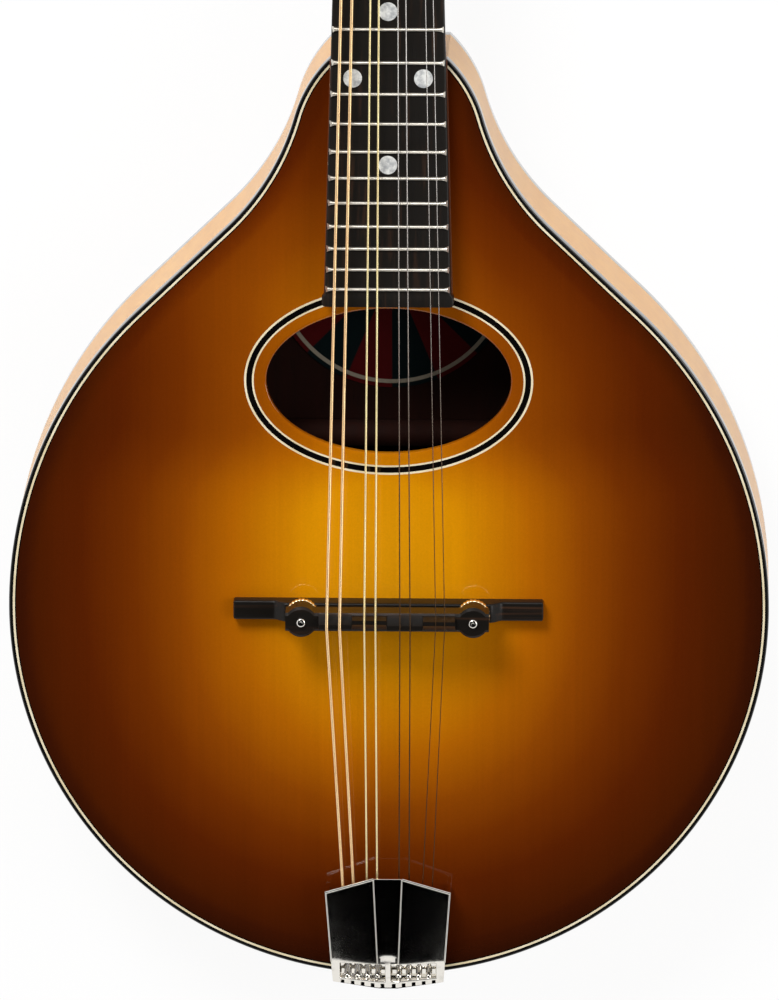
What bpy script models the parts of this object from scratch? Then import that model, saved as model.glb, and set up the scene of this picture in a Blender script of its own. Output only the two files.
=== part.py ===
"""Flat top mandolin, built from the pieces that a maker would put together.

The model is in metres. It lies on its flat back: +Z points up out of the top,
+Y to the headstock and +X to the treble side. The origin is on the back's flat
face, under the line where the strings' scale length ends at the bridge.
"""

import math

import bmesh
import bpy
import numpy as np
from mathutils import Matrix, Vector

# Clearances
FIT = 0.0003  # between pieces that touch
RUNNING_FIT = 0.0003  # between a turning piece and its hole
OVERLAP = 0.001  # how far shapes of one piece run into each other

# Scale and fretboard
SCALE_LENGTH = 0.3524
FRET_COUNT = 20
BOARD_MARGIN = 0.0060  # from the last fret to the board's end
BOARD_LENGTH = SCALE_LENGTH * (1 - 2 ** (-FRET_COUNT / 12)) + BOARD_MARGIN
BOARD_THICKNESS = 0.0055
NUT_HALF_WIDTH = 0.0149
BOARD_END_HALF_WIDTH = 0.0210
FRET_HEIGHT = 0.0011
FRET_WIDTH = 0.0021
FRET_CROWN_WIDTH = 0.0012
FRET_END_MARGIN = 0.0004
NUT_THICKNESS = 0.0050
NUT_RISE = 0.0013
NUT_BACK_DROP = 0.0016

# Body outline, as tangent arcs from the tail to the neck
LOWER_RADIUS = 0.1270
LOWER_CENTRE_Y = -0.0016
SIDE_RADIUS = 0.1405
FLANK_ANGLE = math.radians(46.2)
WAIST_RADIUS = 0.0839
WAIST_ANGLE = math.radians(15.8)
WAIST_HALF_WIDTH = 0.03128  # where the waist's curve meets the shoulder's
SHOULDER_RADIUS = 0.0453
BODY_END_HALF_WIDTH = 0.0195

# Body depth and walls
BODY_DEPTH = 0.0455
TOP_THICKNESS = 0.0028
BACK_THICKNESS = 0.0024
RIM_THICKNESS = 0.0022
BINDING_WIDTH = 0.0013
BINDING_HEIGHT = 0.0050
PURFLING_WIDTH = 0.0005
PURFLING_DEPTH = 0.0012
LINING_WIDTH = 0.0060
LINING_HEIGHT = 0.0060

# Soundhole, its ring and the label below it
HOLE_HALF_LENGTH = 0.0407
HOLE_HALF_HEIGHT = 0.02465
HOLE_TO_BOARD = 0.0034
RING_MARGIN = 0.0042
RING_WIDTH = 0.0032
RING_DEPTH = 0.0010
LABEL_TO_BLOCK = 0.0065
LABEL_RADIUS = 0.0405
LABEL_THICKNESS = 0.0004

# Braces and blocks
BRACE_WIDTH = 0.0070
TOP_BRACE_HEIGHT = 0.0120
BACK_BRACE_HEIGHT = 0.0100
BRACE_END_HEIGHT = 0.0030
BRACE_END_LENGTH = 0.0350
HOLE_TO_UPPER_BRACE = 0.0112
HOLE_TO_MIDDLE_BRACE = 0.0125
LABEL_TO_BRACE = 0.0110
LOWER_TOP_BRACE_Y = -0.0520
LOWER_BACK_BRACE_Y = -0.0500
NECK_BLOCK_LENGTH = 0.0340
NECK_BLOCK_HALF_WIDTH = 0.0260
TAIL_BLOCK_LENGTH = 0.0200
TAIL_BLOCK_HALF_WIDTH = 0.0250
TENON_LENGTH = 0.0200
TENON_HALF_WIDTH = 0.0080

# Neck and heel
NECK_ANGLE = math.radians(4.0)
BOARD_RISE = 0.0065  # fretboard's face above the top, where the body ends
NECK_DEPTH_AT_NUT = 0.0135
NECK_DEPTH_AT_HEEL = 0.0155
HEEL_LENGTH = 0.0340
HEEL_OVERRUN = 1.12  # the loft's depth at the heel, before the back trims it
HEEL_CURVE = 2.4
HEEL_SPREAD = 1.2  # above 1, the loft's rings lie closer together at the heel's foot
HEEL_BEHIND = 0.0068
THROAT_SHARE = 0.9  # the neck's last ring, inside the headstock, against its width at the nut
HEEL_CAP_THICKNESS = 0.0016
RISER_EDGE = 0.0004

# Headstock
HEAD_PITCH = math.radians(14.0)
HEAD_THICKNESS = 0.0150
HEAD_LENGTH = 0.1520
HEAD_SHOULDER_LENGTH = 0.0260
HEAD_LOWER_HALF_WIDTH = 0.0270
HEAD_UPPER_HALF_WIDTH = 0.0310
HEAD_CORNER_RADIUS = 0.0140
HEAD_CROWN = 0.0080
HEAD_CORNER_TURN = math.radians(70)
OVERLAY_THICKNESS = 0.0018
OVERLAY_MARGIN = 0.0003

# Truss rod
ROD_RADIUS = 0.0026
ROD_SINK = 0.0040
ROD_START = 0.0080
ROD_NUT_RADIUS = 0.0032
ROD_NUT_LENGTH = 0.0080
ROD_NUT_MARGIN = 0.0035
POCKET_LENGTH = 0.0180
POCKET_HALF_WIDTH = 0.0044
COVER_THICKNESS = 0.0016
COVER_LENGTH = 0.0280
COVER_HALF_WIDTH = 0.0090
COVER_TIP_HALF_WIDTH = 0.0011

# Tuners
POST_RADIUS = 0.0030
POST_ACROSS = 0.0175
POST_FIRST = 0.0380
POST_SPACING = 0.0233
POST_STAND = 0.0130
WRAP_HEIGHT = 0.0080
WRAP_LENGTH = 0.0030
GEAR_TEETH = 12
GEAR_RADIUS = 0.0056
GEAR_ROOT_RADIUS = 0.0047
GEAR_THICKNESS = 0.0030
WORM_RADIUS = 0.0024
WORM_LENGTH = 0.0070
SHAFT_RADIUS = 0.0015
PLATE_THICKNESS = 0.0012
PLATE_HALF_WIDTH = 0.0075
PLATE_MARGIN = 0.0090
EAR_THICKNESS = 0.0012
EAR_WIDTH = 0.0060
EAR_ACROSS = 0.0060
EAR_MARGIN = 0.0028
BUTTON_GAP = 0.0025
BUTTON_LENGTH = 0.0110
BUTTON_WIDTH = 0.0160
BUTTON_THICKNESS = 0.0068

# Bridge
BRIDGE_Y = -0.0010
BRIDGE_HALF_LENGTH = 0.0517
BRIDGE_WIDTH = 0.0065
BRIDGE_WING_HEIGHT = 0.0045
BRIDGE_RAISED_HALF_LENGTH = 0.0350
BRIDGE_RAISED_HEIGHT = 0.0074
BRIDGE_RAMP = 0.0030
BRIDGE_POST_ACROSS = 0.0286
BRIDGE_POST_RADIUS = 0.0015
BRIDGE_POST_SINK = 0.0040
SADDLE_DROP = 0.0008
SADDLE_LIFT = 0.0012
WHEEL_RADIUS = 0.0055
WHEEL_NOTCH = 0.0004
WHEEL_NOTCHES = 20
WHEEL_THICKNESS = 0.0025
SADDLE_HALF_LENGTH = 0.0342
SADDLE_BLADE_HALF_LENGTH = 0.0227
SADDLE_WIDTH = 0.0062
SADDLE_RIDGE_WIDTH = 0.0014
SADDLE_BOSS_RADIUS = 0.0052
SADDLE_END_HEIGHT = 0.0090
SADDLE_HEIGHT = 0.0122

# Tailpiece, measured from the body's tail
TAILPIECE_FRONT = 0.0361
TAILPIECE_SWEEP = 0.0039
TAILPIECE_BACK = 0.0030
TAILPIECE_BACK_SWEEP = 0.0018
TAILPIECE_FRONT_HALF_WIDTH = 0.0210
TAILPIECE_BACK_HALF_WIDTH = 0.0186
TAILPIECE_RIDGE_FRONT = 0.0043
TAILPIECE_RIDGE_BACK = 0.0031
TAILPIECE_FLOOR = 0.0010
TAILPIECE_WALL = 0.0014
TAILPIECE_FRONT_HEIGHT = 0.0133
TAILPIECE_BACK_HEIGHT = 0.0088
TAILPIECE_FALL = 0.0018  # how far the side facets drop to their outer edge
WINDOW_FRONT = 0.0071
WINDOW_BACK = 0.0004
WINDOW_INNER = 0.0012
WINDOW_OUTER = 0.0160
PIN_RADIUS = 0.0008
PIN_PLACE = 0.0022
PIN_FIRST = 0.00355
PIN_SPACING = 0.00337
PIN_TOP = 0.0066
FLANGE_HALF_WIDTH = 0.0125
FLANGE_DROP = 0.0310
FLANGE_THICKNESS = 0.0024
END_PIN_RADIUS = 0.0030
END_PIN_HEAD_RADIUS = 0.0068
END_PIN_HEAD_LENGTH = 0.0048
END_PIN_FACE_RADIUS = 0.0045
END_PIN_CROWN = 0.0010
END_PIN_EDGE = 0.0012
END_PIN_WAIST_RADIUS = 0.0041
END_PIN_WAIST_HEIGHT = 0.0014
END_PIN_COLLAR_RADIUS = 0.0056
END_PIN_TIP_RADIUS = 0.0027

# Strings, bass to treble: name, diameter, course and place in the course
COURSES = {
    "g": {"diameter": 0.00102, "nut": -0.01075, "saddle": -0.01780, "gaps": (0.0031, 0.0043)},
    "d": {"diameter": 0.00066, "nut": -0.00355, "saddle": -0.00560, "gaps": (0.0022, 0.0037)},
    "a": {"diameter": 0.00041, "nut": 0.00355, "saddle": 0.00610, "gaps": (0.0021, 0.0034)},
    "e": {"diameter": 0.00028, "nut": 0.01075, "saddle": 0.01780, "gaps": (0.0022, 0.0030)},
}
STRING_END_HEIGHT = 0.0052

# How finely round shapes are cut
LOWER_STEPS = 14
SIDE_STEPS = 8
WAIST_STEPS = 4
SHOULDER_STEPS = 5
HOLE_STEPS = 48
FINE_STEPS = 32
KNOB_STEPS = 20
ROUND_STEPS = 12
THIN_STEPS = 10
PIN_STEPS = 8
HEXAGON = 6
NECK_STEPS = 14
HEEL_STEPS = 7
CURVE_STEPS = 6
SHARP_ANGLE = math.radians(35)

FINISHES = {
    "golden_spruce": ((0.62, 0.27, 0.03), 0.25, 0.0),
    "pale_maple": ((0.78, 0.52, 0.33), 0.35, 0.0),
    "brown_neck": ((0.30, 0.12, 0.04), 0.35, 0.0),
    "inner_spruce": ((0.55, 0.36, 0.18), 0.7, 0.0),
    "ebony": ((0.02, 0.016, 0.014), 0.4, 0.0),
    "black_binding": ((0.01, 0.01, 0.01), 0.2, 0.0),
    "ivory": ((0.80, 0.72, 0.55), 0.3, 0.0),
    "paper": ((0.35, 0.05, 0.05), 0.8, 0.0),
    "nickel": ((0.78, 0.76, 0.72), 0.15, 1.0),
    "steel": ((0.55, 0.55, 0.55), 0.3, 1.0),
    "bronze": ((0.75, 0.45, 0.22), 0.3, 1.0),
    "bone": ((0.85, 0.80, 0.68), 0.4, 0.0),
}


# Shapes of the body, in the plane of the top


def arc(centre, radius, start, end, steps):
    angles = np.linspace(start, end, steps + 1)
    return np.asarray(centre) + radius * np.stack([np.cos(angles), np.sin(angles)], 1)


def half_outline():
    """The treble half of the body's edge, from the tail's middle to the neck corner."""
    lower = arc((0, LOWER_CENTRE_Y), LOWER_RADIUS, -math.pi / 2, 0, LOWER_STEPS)
    side_centre = (LOWER_RADIUS - SIDE_RADIUS, LOWER_CENTRE_Y)
    side = arc(side_centre, SIDE_RADIUS, 0, FLANK_ANGLE, SIDE_STEPS)
    along = np.array([-math.sin(FLANK_ANGLE), math.cos(FLANK_ANGLE)])
    out = np.array([math.cos(FLANK_ANGLE), math.sin(FLANK_ANGLE)])
    waist_rise = WAIST_RADIUS * (math.cos(WAIST_ANGLE) - math.cos(FLANK_ANGLE))
    flank_length = (side[-1, 0] - waist_rise - WAIST_HALF_WIDTH) / math.sin(FLANK_ANGLE)
    flank_end = side[-1] + along * flank_length
    waist_centre = flank_end + out * WAIST_RADIUS
    turn = math.pi
    waist = arc(waist_centre, WAIST_RADIUS, FLANK_ANGLE + turn, WAIST_ANGLE + turn, WAIST_STEPS)
    waist_out = np.array([math.cos(WAIST_ANGLE), math.sin(WAIST_ANGLE)])
    shoulder_centre = waist[-1] - waist_out * SHOULDER_RADIUS
    end_angle = math.acos((BODY_END_HALF_WIDTH - shoulder_centre[0]) / SHOULDER_RADIUS)
    shoulder = arc(shoulder_centre, SHOULDER_RADIUS, WAIST_ANGLE, end_angle, SHOULDER_STEPS)
    return np.concatenate([lower, side[1:], waist, shoulder[1:]])


def body_outline():
    half = half_outline()
    return np.concatenate([half, half[:0:-1] * [-1, 1]])


OUTLINE = body_outline()
TAIL_Y = LOWER_CENTRE_Y - LOWER_RADIUS
BODY_END_Y = OUTLINE[:, 1].max()
BOARD_END_Y = (SCALE_LENGTH - BOARD_LENGTH) * math.cos(NECK_ANGLE)
HOLE_CENTRE_Y = BOARD_END_Y - HOLE_TO_BOARD - HOLE_HALF_HEIGHT
LABEL_CENTRE_Y = BODY_END_Y - NECK_BLOCK_LENGTH - LABEL_TO_BLOCK - LABEL_RADIUS


def inset_outline(distance):
    """The body's edge moved inwards, each corner along the mitre of its two sides."""
    before = OUTLINE - np.roll(OUTLINE, 1, axis=0)
    after = np.roll(OUTLINE, -1, axis=0) - OUTLINE
    normals = []
    for side in (before, after):
        inward = np.stack([-side[:, 1], side[:, 0]], 1)
        normals.append(inward / np.linalg.norm(inward, axis=1, keepdims=True))
    share = 1 + (normals[0] * normals[1]).sum(axis=1, keepdims=True)
    return OUTLINE + distance * (normals[0] + normals[1]) / share


def half_width_at(y, inset):
    edge = half_outline()
    return float(np.interp(y, edge[:, 1], edge[:, 0])) - inset


def ellipse(centre_y, half_length, half_height):
    around = arc((0, 0), 1, 0, 2 * math.pi, HOLE_STEPS)[:-1]
    return around * [half_length, half_height] + [0, centre_y]


# Objects


def clear_scene():
    for obj in list(bpy.data.objects):
        bpy.data.objects.remove(obj)


def new_collection(name):
    made = bpy.data.collections.new(name)
    bpy.context.scene.collection.children.link(made)
    return made


clear_scene()
PARTS = new_collection("flat_top_mandolin")
TOOLS = new_collection("cutters")


def set_finish(obj, finish):
    color, roughness, metallic = FINISHES[finish]
    material = bpy.data.materials.new(f"{obj.name}_{finish}")
    material.use_nodes = True
    shader = material.node_tree.nodes["Principled BSDF"]
    shader.inputs["Base Color"].default_value = (*color, 1)
    shader.inputs["Roughness"].default_value = roughness
    shader.inputs["Metallic"].default_value = metallic
    material.diffuse_color = (*color, 1)
    obj.data.materials.clear()
    obj.data.materials.append(material)


def add_empty(name, parent=None, location=(0, 0, 0), tilt=0.0):
    """A frame for the pieces on it, tilted about X."""
    frame = bpy.data.objects.new(name, None)
    PARTS.objects.link(frame)
    frame.parent = parent
    frame.location = location
    frame.rotation_euler.x = tilt
    frame.empty_display_size = 0.01
    bpy.context.view_layer.update()
    return frame


def add_object(name, data, finish=None, parent=None, location=(0, 0, 0), turn=None):
    """A piece with a finish, or a tool for a Boolean when it has none."""
    obj = bpy.data.objects.new(name, data)
    obj.parent = parent
    obj.location = location
    if turn:
        obj.rotation_euler = turn
    if finish:
        PARTS.objects.link(obj)
        set_finish(obj, finish)
        obj.data.shade_smooth()
        obj.data.set_sharp_from_angle(angle=SHARP_ANGLE)
    else:
        TOOLS.objects.link(obj)
        obj.hide_render = True
        obj.display_type = "WIRE"
    return obj


def mesh_from(bm, name):
    bmesh.ops.recalc_face_normals(bm, faces=bm.faces)
    mesh = bpy.data.meshes.new(name)
    bm.to_mesh(mesh)
    bm.free()
    return mesh


def baked_mesh(obj):
    """The evaluated mesh of a curve or a modified object, which is then removed."""
    graph = bpy.context.evaluated_depsgraph_get()
    mesh = bpy.data.meshes.new_from_object(obj.evaluated_get(graph))
    name = obj.name
    bpy.data.objects.remove(obj)
    bm = bmesh.new()
    bm.from_mesh(mesh)
    bmesh.ops.remove_doubles(bm, verts=bm.verts, dist=1e-6)
    baked = mesh_from(bm, name)
    bpy.data.meshes.remove(mesh)
    return baked


def flat_mesh(name, loops, low, high):
    """A flat outline, its first loop, less the holes after it, from one height to another."""
    curve = bpy.data.curves.new(name, "CURVE")
    curve.dimensions = "2D"
    curve.fill_mode = "BOTH"
    curve.extrude = (high - low) / 2
    for loop in loops:
        spline = curve.splines.new("POLY")
        spline.points.add(len(loop) - 1)
        for point, (x, y) in zip(spline.points, loop):
            point.co = (x, y, 0, 1)
        spline.use_cyclic_u = True
    mesh = baked_mesh(add_object(name, curve))
    mesh.transform(Matrix.Translation((0, 0, (low + high) / 2)))
    return mesh


def upright_mesh(name, loop, thickness):
    """An outline in X and Z, given a thickness across Y."""
    mesh = flat_mesh(name, [loop], -thickness / 2, thickness / 2)
    mesh.transform(Matrix.Rotation(math.pi / 2, 4, "X"))
    return mesh


def box_mesh(name, low, high):
    bm = bmesh.new()
    bmesh.ops.create_cube(bm, size=1)
    low, high = Vector(low), Vector(high)
    size = high - low
    bmesh.ops.scale(bm, vec=size, verts=bm.verts)
    bmesh.ops.translate(bm, vec=(low + high) / 2, verts=bm.verts)
    return mesh_from(bm, name)


def rod_mesh(name, radius, low, high, steps=ROUND_STEPS):
    """A round bar along Z."""
    bm = bmesh.new()
    bmesh.ops.create_cone(
        bm, cap_ends=True, segments=steps, radius1=radius, radius2=radius, depth=high - low
    )
    bmesh.ops.translate(bm, vec=(0, 0, (low + high) / 2), verts=bm.verts)
    return mesh_from(bm, name)


def turned_mesh(name, profile, steps=ROUND_STEPS):
    """A profile of (radius, height) points, from the top down, turned about Z."""
    line = bpy.data.meshes.new(name)
    points = [(radius, 0, height) for radius, height in profile]
    line.from_pydata(points, [(i, i + 1) for i in range(len(points) - 1)], [])
    obj = add_object(name, line)
    screw = obj.modifiers.new("turn", "SCREW")
    screw.steps = screw.render_steps = steps
    screw.use_merge_vertices = True
    screw.merge_threshold = 1e-5
    return baked_mesh(obj)


def loft_bmesh(sections, end_faces=None):
    """A closed skin over rings of points; end_faces splits each end where it isn't flat."""
    bm = bmesh.new()
    rings = [[bm.verts.new(point) for point in section] for section in sections]
    count = len(sections[0])
    for one, two in zip(rings, rings[1:]):
        for i in range(count):
            j = (i + 1) % count
            bm.faces.new((one[i], one[j], two[j], two[i]))
    for end in (rings[0], rings[-1]):
        for corners in end_faces or [range(count)]:
            bm.faces.new([end[i] for i in corners])
    bmesh.ops.recalc_face_normals(bm, faces=bm.faces)
    return bm


def loft_mesh(name, sections, end_faces=None):
    return mesh_from(loft_bmesh(sections, end_faces), name)


def slice_off(bm, point, normal):
    """Removes what lies on the normal's side of a plane, and closes the cut."""
    geometry = list(bm.verts) + list(bm.edges) + list(bm.faces)
    cut = bmesh.ops.bisect_plane(
        bm, geom=geometry, plane_co=point, plane_no=normal, clear_outer=True
    )
    edges = [part for part in cut["geom_cut"] if isinstance(part, bmesh.types.BMEdge)]
    bmesh.ops.edgeloop_fill(bm, edges=edges)


def boolean(obj, tool, operation="DIFFERENCE"):
    modifier = obj.modifiers.new(tool.name, "BOOLEAN")
    modifier.operation = operation
    modifier.object = tool
    modifier.solver = "EXACT"


# Body


def add_ring(name, outer, inner, low, high, finish):
    loops = [inset_outline(outer), inset_outline(inner)]
    return add_object(name, flat_mesh(name, loops, low, high), finish)


def plate_inset():
    return BINDING_WIDTH + FIT


def top_plate_inset():
    return plate_inset() + PURFLING_WIDTH + FIT


def lining_outer():
    return RIM_THICKNESS + FIT


def lining_inner():
    return lining_outer() + LINING_WIDTH


def inside_low():
    return BACK_THICKNESS + FIT


def inside_high():
    return BODY_DEPTH - TOP_THICKNESS - FIT


def ring_loops():
    inner = (HOLE_HALF_LENGTH + RING_MARGIN, HOLE_HALF_HEIGHT + RING_MARGIN)
    outer = (inner[0] + RING_WIDTH, inner[1] + RING_WIDTH)
    return outer, inner


def make_top_plate():
    hole = ellipse(HOLE_CENTRE_Y, HOLE_HALF_LENGTH, HOLE_HALF_HEIGHT)
    loops = [inset_outline(top_plate_inset()), hole]
    mesh = flat_mesh("top_plate", loops, BODY_DEPTH - TOP_THICKNESS, BODY_DEPTH)
    plate = add_object("top_plate", mesh, "golden_spruce")
    outer, inner = ring_loops()
    groove = [
        ellipse(HOLE_CENTRE_Y, outer[0] + FIT, outer[1] + FIT),
        ellipse(HOLE_CENTRE_Y, inner[0] - FIT, inner[1] - FIT),
    ]
    low, high = BODY_DEPTH - RING_DEPTH - FIT, BODY_DEPTH + OVERLAP
    boolean(plate, add_object("ring_groove", flat_mesh("ring_groove", groove, low, high)))


def make_rosette():
    outer, inner = ring_loops()
    loops = [ellipse(HOLE_CENTRE_Y, *outer), ellipse(HOLE_CENTRE_Y, *inner)]
    mesh = flat_mesh("rosette", loops, BODY_DEPTH - RING_DEPTH, BODY_DEPTH)
    add_object("rosette", mesh, "black_binding")


def make_back_plate():
    mesh = flat_mesh("back_plate", [inset_outline(plate_inset())], 0, BACK_THICKNESS)
    add_object("back_plate", mesh, "pale_maple")


def make_bindings():
    low = BODY_DEPTH - BINDING_HEIGHT
    add_ring("top_binding", 0, BINDING_WIDTH, low, BODY_DEPTH, "black_binding")
    add_ring("back_binding", 0, BINDING_WIDTH, 0, BINDING_HEIGHT, "black_binding")
    inset = plate_inset()
    low = BODY_DEPTH - PURFLING_DEPTH
    add_ring("top_purfling", inset, inset + PURFLING_WIDTH, low, BODY_DEPTH, "ivory")


def tenon_bounds(clearance):
    """The low and high corners of the neck's tenon, or of the mortise around it."""
    low_z = inside_low() + LINING_HEIGHT + 2 * FIT
    high_z = inside_high() - LINING_HEIGHT - 2 * FIT
    low = (-TENON_HALF_WIDTH - clearance, BODY_END_Y - TENON_LENGTH - clearance, low_z - clearance)
    high = (TENON_HALF_WIDTH + clearance, BODY_END_Y + OVERLAP, high_z + clearance)
    return low, high


def make_rim():
    low, high = BINDING_HEIGHT + FIT, BODY_DEPTH - BINDING_HEIGHT - FIT
    rim = add_ring("rim", 0, RIM_THICKNESS, low, high, "pale_maple")
    boolean(rim, add_object("rim_mortise", box_mesh("rim_mortise", *tenon_bounds(FIT))))
    boolean(rim, end_pin_bore("rim_bore"))


def make_linings():
    outer, inner = lining_outer(), lining_inner()
    low, high = inside_low(), inside_low() + LINING_HEIGHT
    add_ring("back_lining", outer, inner, low, high, "inner_spruce")
    low, high = inside_high() - LINING_HEIGHT, inside_high()
    add_ring("top_lining", outer, inner, low, high, "inner_spruce")


def make_block(name, low_corner, high_corner):
    """A block that fills the rim's end between the plates, stepped round the linings."""
    shape = inset_outline(lining_inner() + FIT)
    core = flat_mesh(name, [shape], inside_low(), inside_high())
    block = add_object(name, core, "inner_spruce")
    shape = inset_outline(lining_outer())
    low, high = inside_low() + LINING_HEIGHT + FIT, inside_high() - LINING_HEIGHT - FIT
    step = add_object(f"{name}_step", flat_mesh(f"{name}_step", [shape], low, high))
    boolean(block, step, "UNION")
    bounds = add_object(f"{name}_bounds", box_mesh(f"{name}_bounds", low_corner, high_corner))
    boolean(block, bounds, "INTERSECT")
    return block


def make_blocks():
    low = (-NECK_BLOCK_HALF_WIDTH, BODY_END_Y - NECK_BLOCK_LENGTH, -OVERLAP)
    high = (NECK_BLOCK_HALF_WIDTH, BODY_END_Y + OVERLAP, BODY_DEPTH)
    neck_block = make_block("neck_block", low, high)
    mortise = add_object("block_mortise", box_mesh("block_mortise", *tenon_bounds(FIT)))
    boolean(neck_block, mortise)
    low = (-TAIL_BLOCK_HALF_WIDTH, TAIL_Y - OVERLAP, -OVERLAP)
    high = (TAIL_BLOCK_HALF_WIDTH, TAIL_Y + TAIL_BLOCK_LENGTH, BODY_DEPTH)
    tail_block = make_block("tail_block", low, high)
    boolean(tail_block, end_pin_bore("block_bore"))


def brace_loop(half_length, height):
    """A brace seen along the neck: full height in the middle, scooped low at its ends."""
    inner = half_length - BRACE_END_LENGTH
    ease = np.linspace(0, 1, CURVE_STEPS)
    xs = inner + ease * BRACE_END_LENGTH
    heights = BRACE_END_HEIGHT + (height - BRACE_END_HEIGHT) * (1 - ease) ** 2
    side = list(zip(xs, heights))
    return [(-half_length, 0), (half_length, 0), *side[::-1], *[(-x, z) for x, z in side]]


def make_brace(name, y, height, on_top):
    nearest = min(half_width_at(y + shift, lining_inner()) for shift in (-BRACE_WIDTH, BRACE_WIDTH))
    mesh = upright_mesh(name, brace_loop(nearest - LINING_WIDTH / 2, height), BRACE_WIDTH)
    if on_top:
        mesh.transform(Matrix.Rotation(math.pi, 4, "Y"))
    place = (0, y, inside_high() if on_top else inside_low())
    add_object(name, mesh, "inner_spruce", location=place)


def make_braces():
    beyond_hole = HOLE_HALF_HEIGHT + BRACE_WIDTH / 2
    upper = HOLE_CENTRE_Y + beyond_hole + HOLE_TO_UPPER_BRACE
    middle = HOLE_CENTRE_Y - beyond_hole - HOLE_TO_MIDDLE_BRACE
    for place, y in {"upper": upper, "middle": middle, "lower": LOWER_TOP_BRACE_Y}.items():
        make_brace(f"top_brace_{place}", y, TOP_BRACE_HEIGHT, True)
    upper = LABEL_CENTRE_Y - LABEL_RADIUS - LABEL_TO_BRACE - BRACE_WIDTH / 2
    for place, y in {"upper": upper, "lower": LOWER_BACK_BRACE_Y}.items():
        make_brace(f"back_brace_{place}", y, BACK_BRACE_HEIGHT, False)


def make_label():
    mesh = rod_mesh("label", LABEL_RADIUS, 0, LABEL_THICKNESS, FINE_STEPS)
    add_object("label", mesh, "paper", location=(0, LABEL_CENTRE_Y, inside_low()))


# Neck. Its frame lies on the fretboard's face where the body ends, with +Y to the nut.


NUT_Y = SCALE_LENGTH - BODY_END_Y / math.cos(NECK_ANGLE)
HEAD_START = NUT_Y + NUT_THICKNESS
NECK_TOP = -BOARD_THICKNESS - FIT
HEEL_FOOT_Y = (BODY_DEPTH + BOARD_RISE) * math.tan(NECK_ANGLE)


def board_half_width(y):
    """Half the fretboard's width at a place on the neck frame's Y."""
    share = (NUT_Y - y) / BOARD_LENGTH
    return NUT_HALF_WIDTH + (BOARD_END_HALF_WIDTH - NUT_HALF_WIDTH) * share


def neck_section(y, half_width, top, depth):
    angles = np.linspace(0, math.pi, NECK_STEPS + 1)
    return [(half_width * math.cos(a), y, top - depth * math.sin(a)) for a in angles]


def neck_sections():
    """Rings from behind the body's end, along the heel and shaft, into the headstock."""
    heel_depth = HEEL_OVERRUN * (BODY_DEPTH + BOARD_RISE + NECK_TOP)
    sections = []
    for y in heel_places():
        past_foot = max(y - HEEL_FOOT_Y, 0)
        share = max(past_foot - HEEL_LENGTH, 0) / (NUT_Y - HEEL_FOOT_Y - HEEL_LENGTH)
        shaft = NECK_DEPTH_AT_HEEL + (NECK_DEPTH_AT_NUT - NECK_DEPTH_AT_HEEL) * share
        swell = max(1 - past_foot / HEEL_LENGTH, 0) ** HEEL_CURVE
        depth = shaft + (heel_depth - shaft) * swell
        sections.append(neck_section(y, board_half_width(y), NECK_TOP, depth))
    half_width = board_half_width(HEAD_START)
    sections.append(neck_section(HEAD_START, half_width, NECK_TOP, NECK_DEPTH_AT_NUT))
    run = HEAD_THICKNESS
    top = NECK_TOP - run * math.tan(HEAD_PITCH) - OVERLAP
    depth = HEAD_THICKNESS - 3 * OVERLAP
    sections.append(neck_section(HEAD_START + run, half_width * THROAT_SHARE, top, depth))
    return sections


def heel_places():
    near = HEEL_FOOT_Y + HEEL_LENGTH * np.linspace(0, 1, HEEL_STEPS + 1) ** HEEL_SPREAD
    return [-HEEL_BEHIND, *near, (near[-1] + NUT_Y) / 2]


def world_in_neck(vector):
    """A world direction, as the neck frame sees it."""
    return Matrix.Rotation(NECK_ANGLE, 3, "X") @ Vector(vector)


def neck_frame_point(height, y=None):
    """A world height above the back, or a world Y, as a point in the neck frame."""
    offset = Vector((0, 0 if y is None else y - BODY_END_Y, height - BODY_DEPTH - BOARD_RISE))
    return world_in_neck(offset)


def make_neck(frame, head):
    bm = loft_bmesh(neck_sections())
    face = neck_frame_point(BODY_DEPTH, BODY_END_Y + FIT)
    slice_off(bm, face, world_in_neck((0, -1, 0)))
    heel_cap = bm.copy()
    slice_off(bm, neck_frame_point(HEEL_CAP_THICKNESS + FIT), world_in_neck((0, 0, -1)))
    neck = add_object("neck", mesh_from(bm, "neck"), "brown_neck", frame)
    slice_off(heel_cap, neck_frame_point(HEEL_CAP_THICKNESS), world_in_neck((0, 0, 1)))
    slice_off(heel_cap, neck_frame_point(0), world_in_neck((0, 0, -1)))
    add_object("heel_cap", mesh_from(heel_cap, "heel_cap"), "ebony", frame)
    blade = flat_mesh("head_blade", [head_outline(0)], -HEAD_THICKNESS, 0)
    boolean(neck, add_object("head_blade", blade, parent=head), "UNION")
    low, high = tenon_bounds(0)
    tenon = box_mesh("tenon", low, (high[0], BODY_END_Y + FIT + 2 * OVERLAP, high[2]))
    boolean(neck, add_object("tenon", tenon), "UNION")
    boolean(neck, rod_channel(frame))
    boolean(neck, rod_pocket("neck_pocket", frame))
    boolean(neck, post_holes("neck_post_holes", head))


def rod_channel(frame):
    half = ROD_RADIUS + FIT
    low = (-half, ROD_START - FIT, NECK_TOP - ROD_SINK - half)
    high = (half, HEAD_START + OVERLAP, NECK_TOP + OVERLAP)
    return add_object("rod_channel", box_mesh("rod_channel", low, high), parent=frame)


def rod_pocket(name, frame):
    half = POCKET_HALF_WIDTH
    low = (-half, HEAD_START - FIT, NECK_TOP - ROD_SINK - half)
    high = (half, HEAD_START + POCKET_LENGTH, 0)
    return add_object(name, box_mesh(name, low, high), parent=frame)


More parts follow.
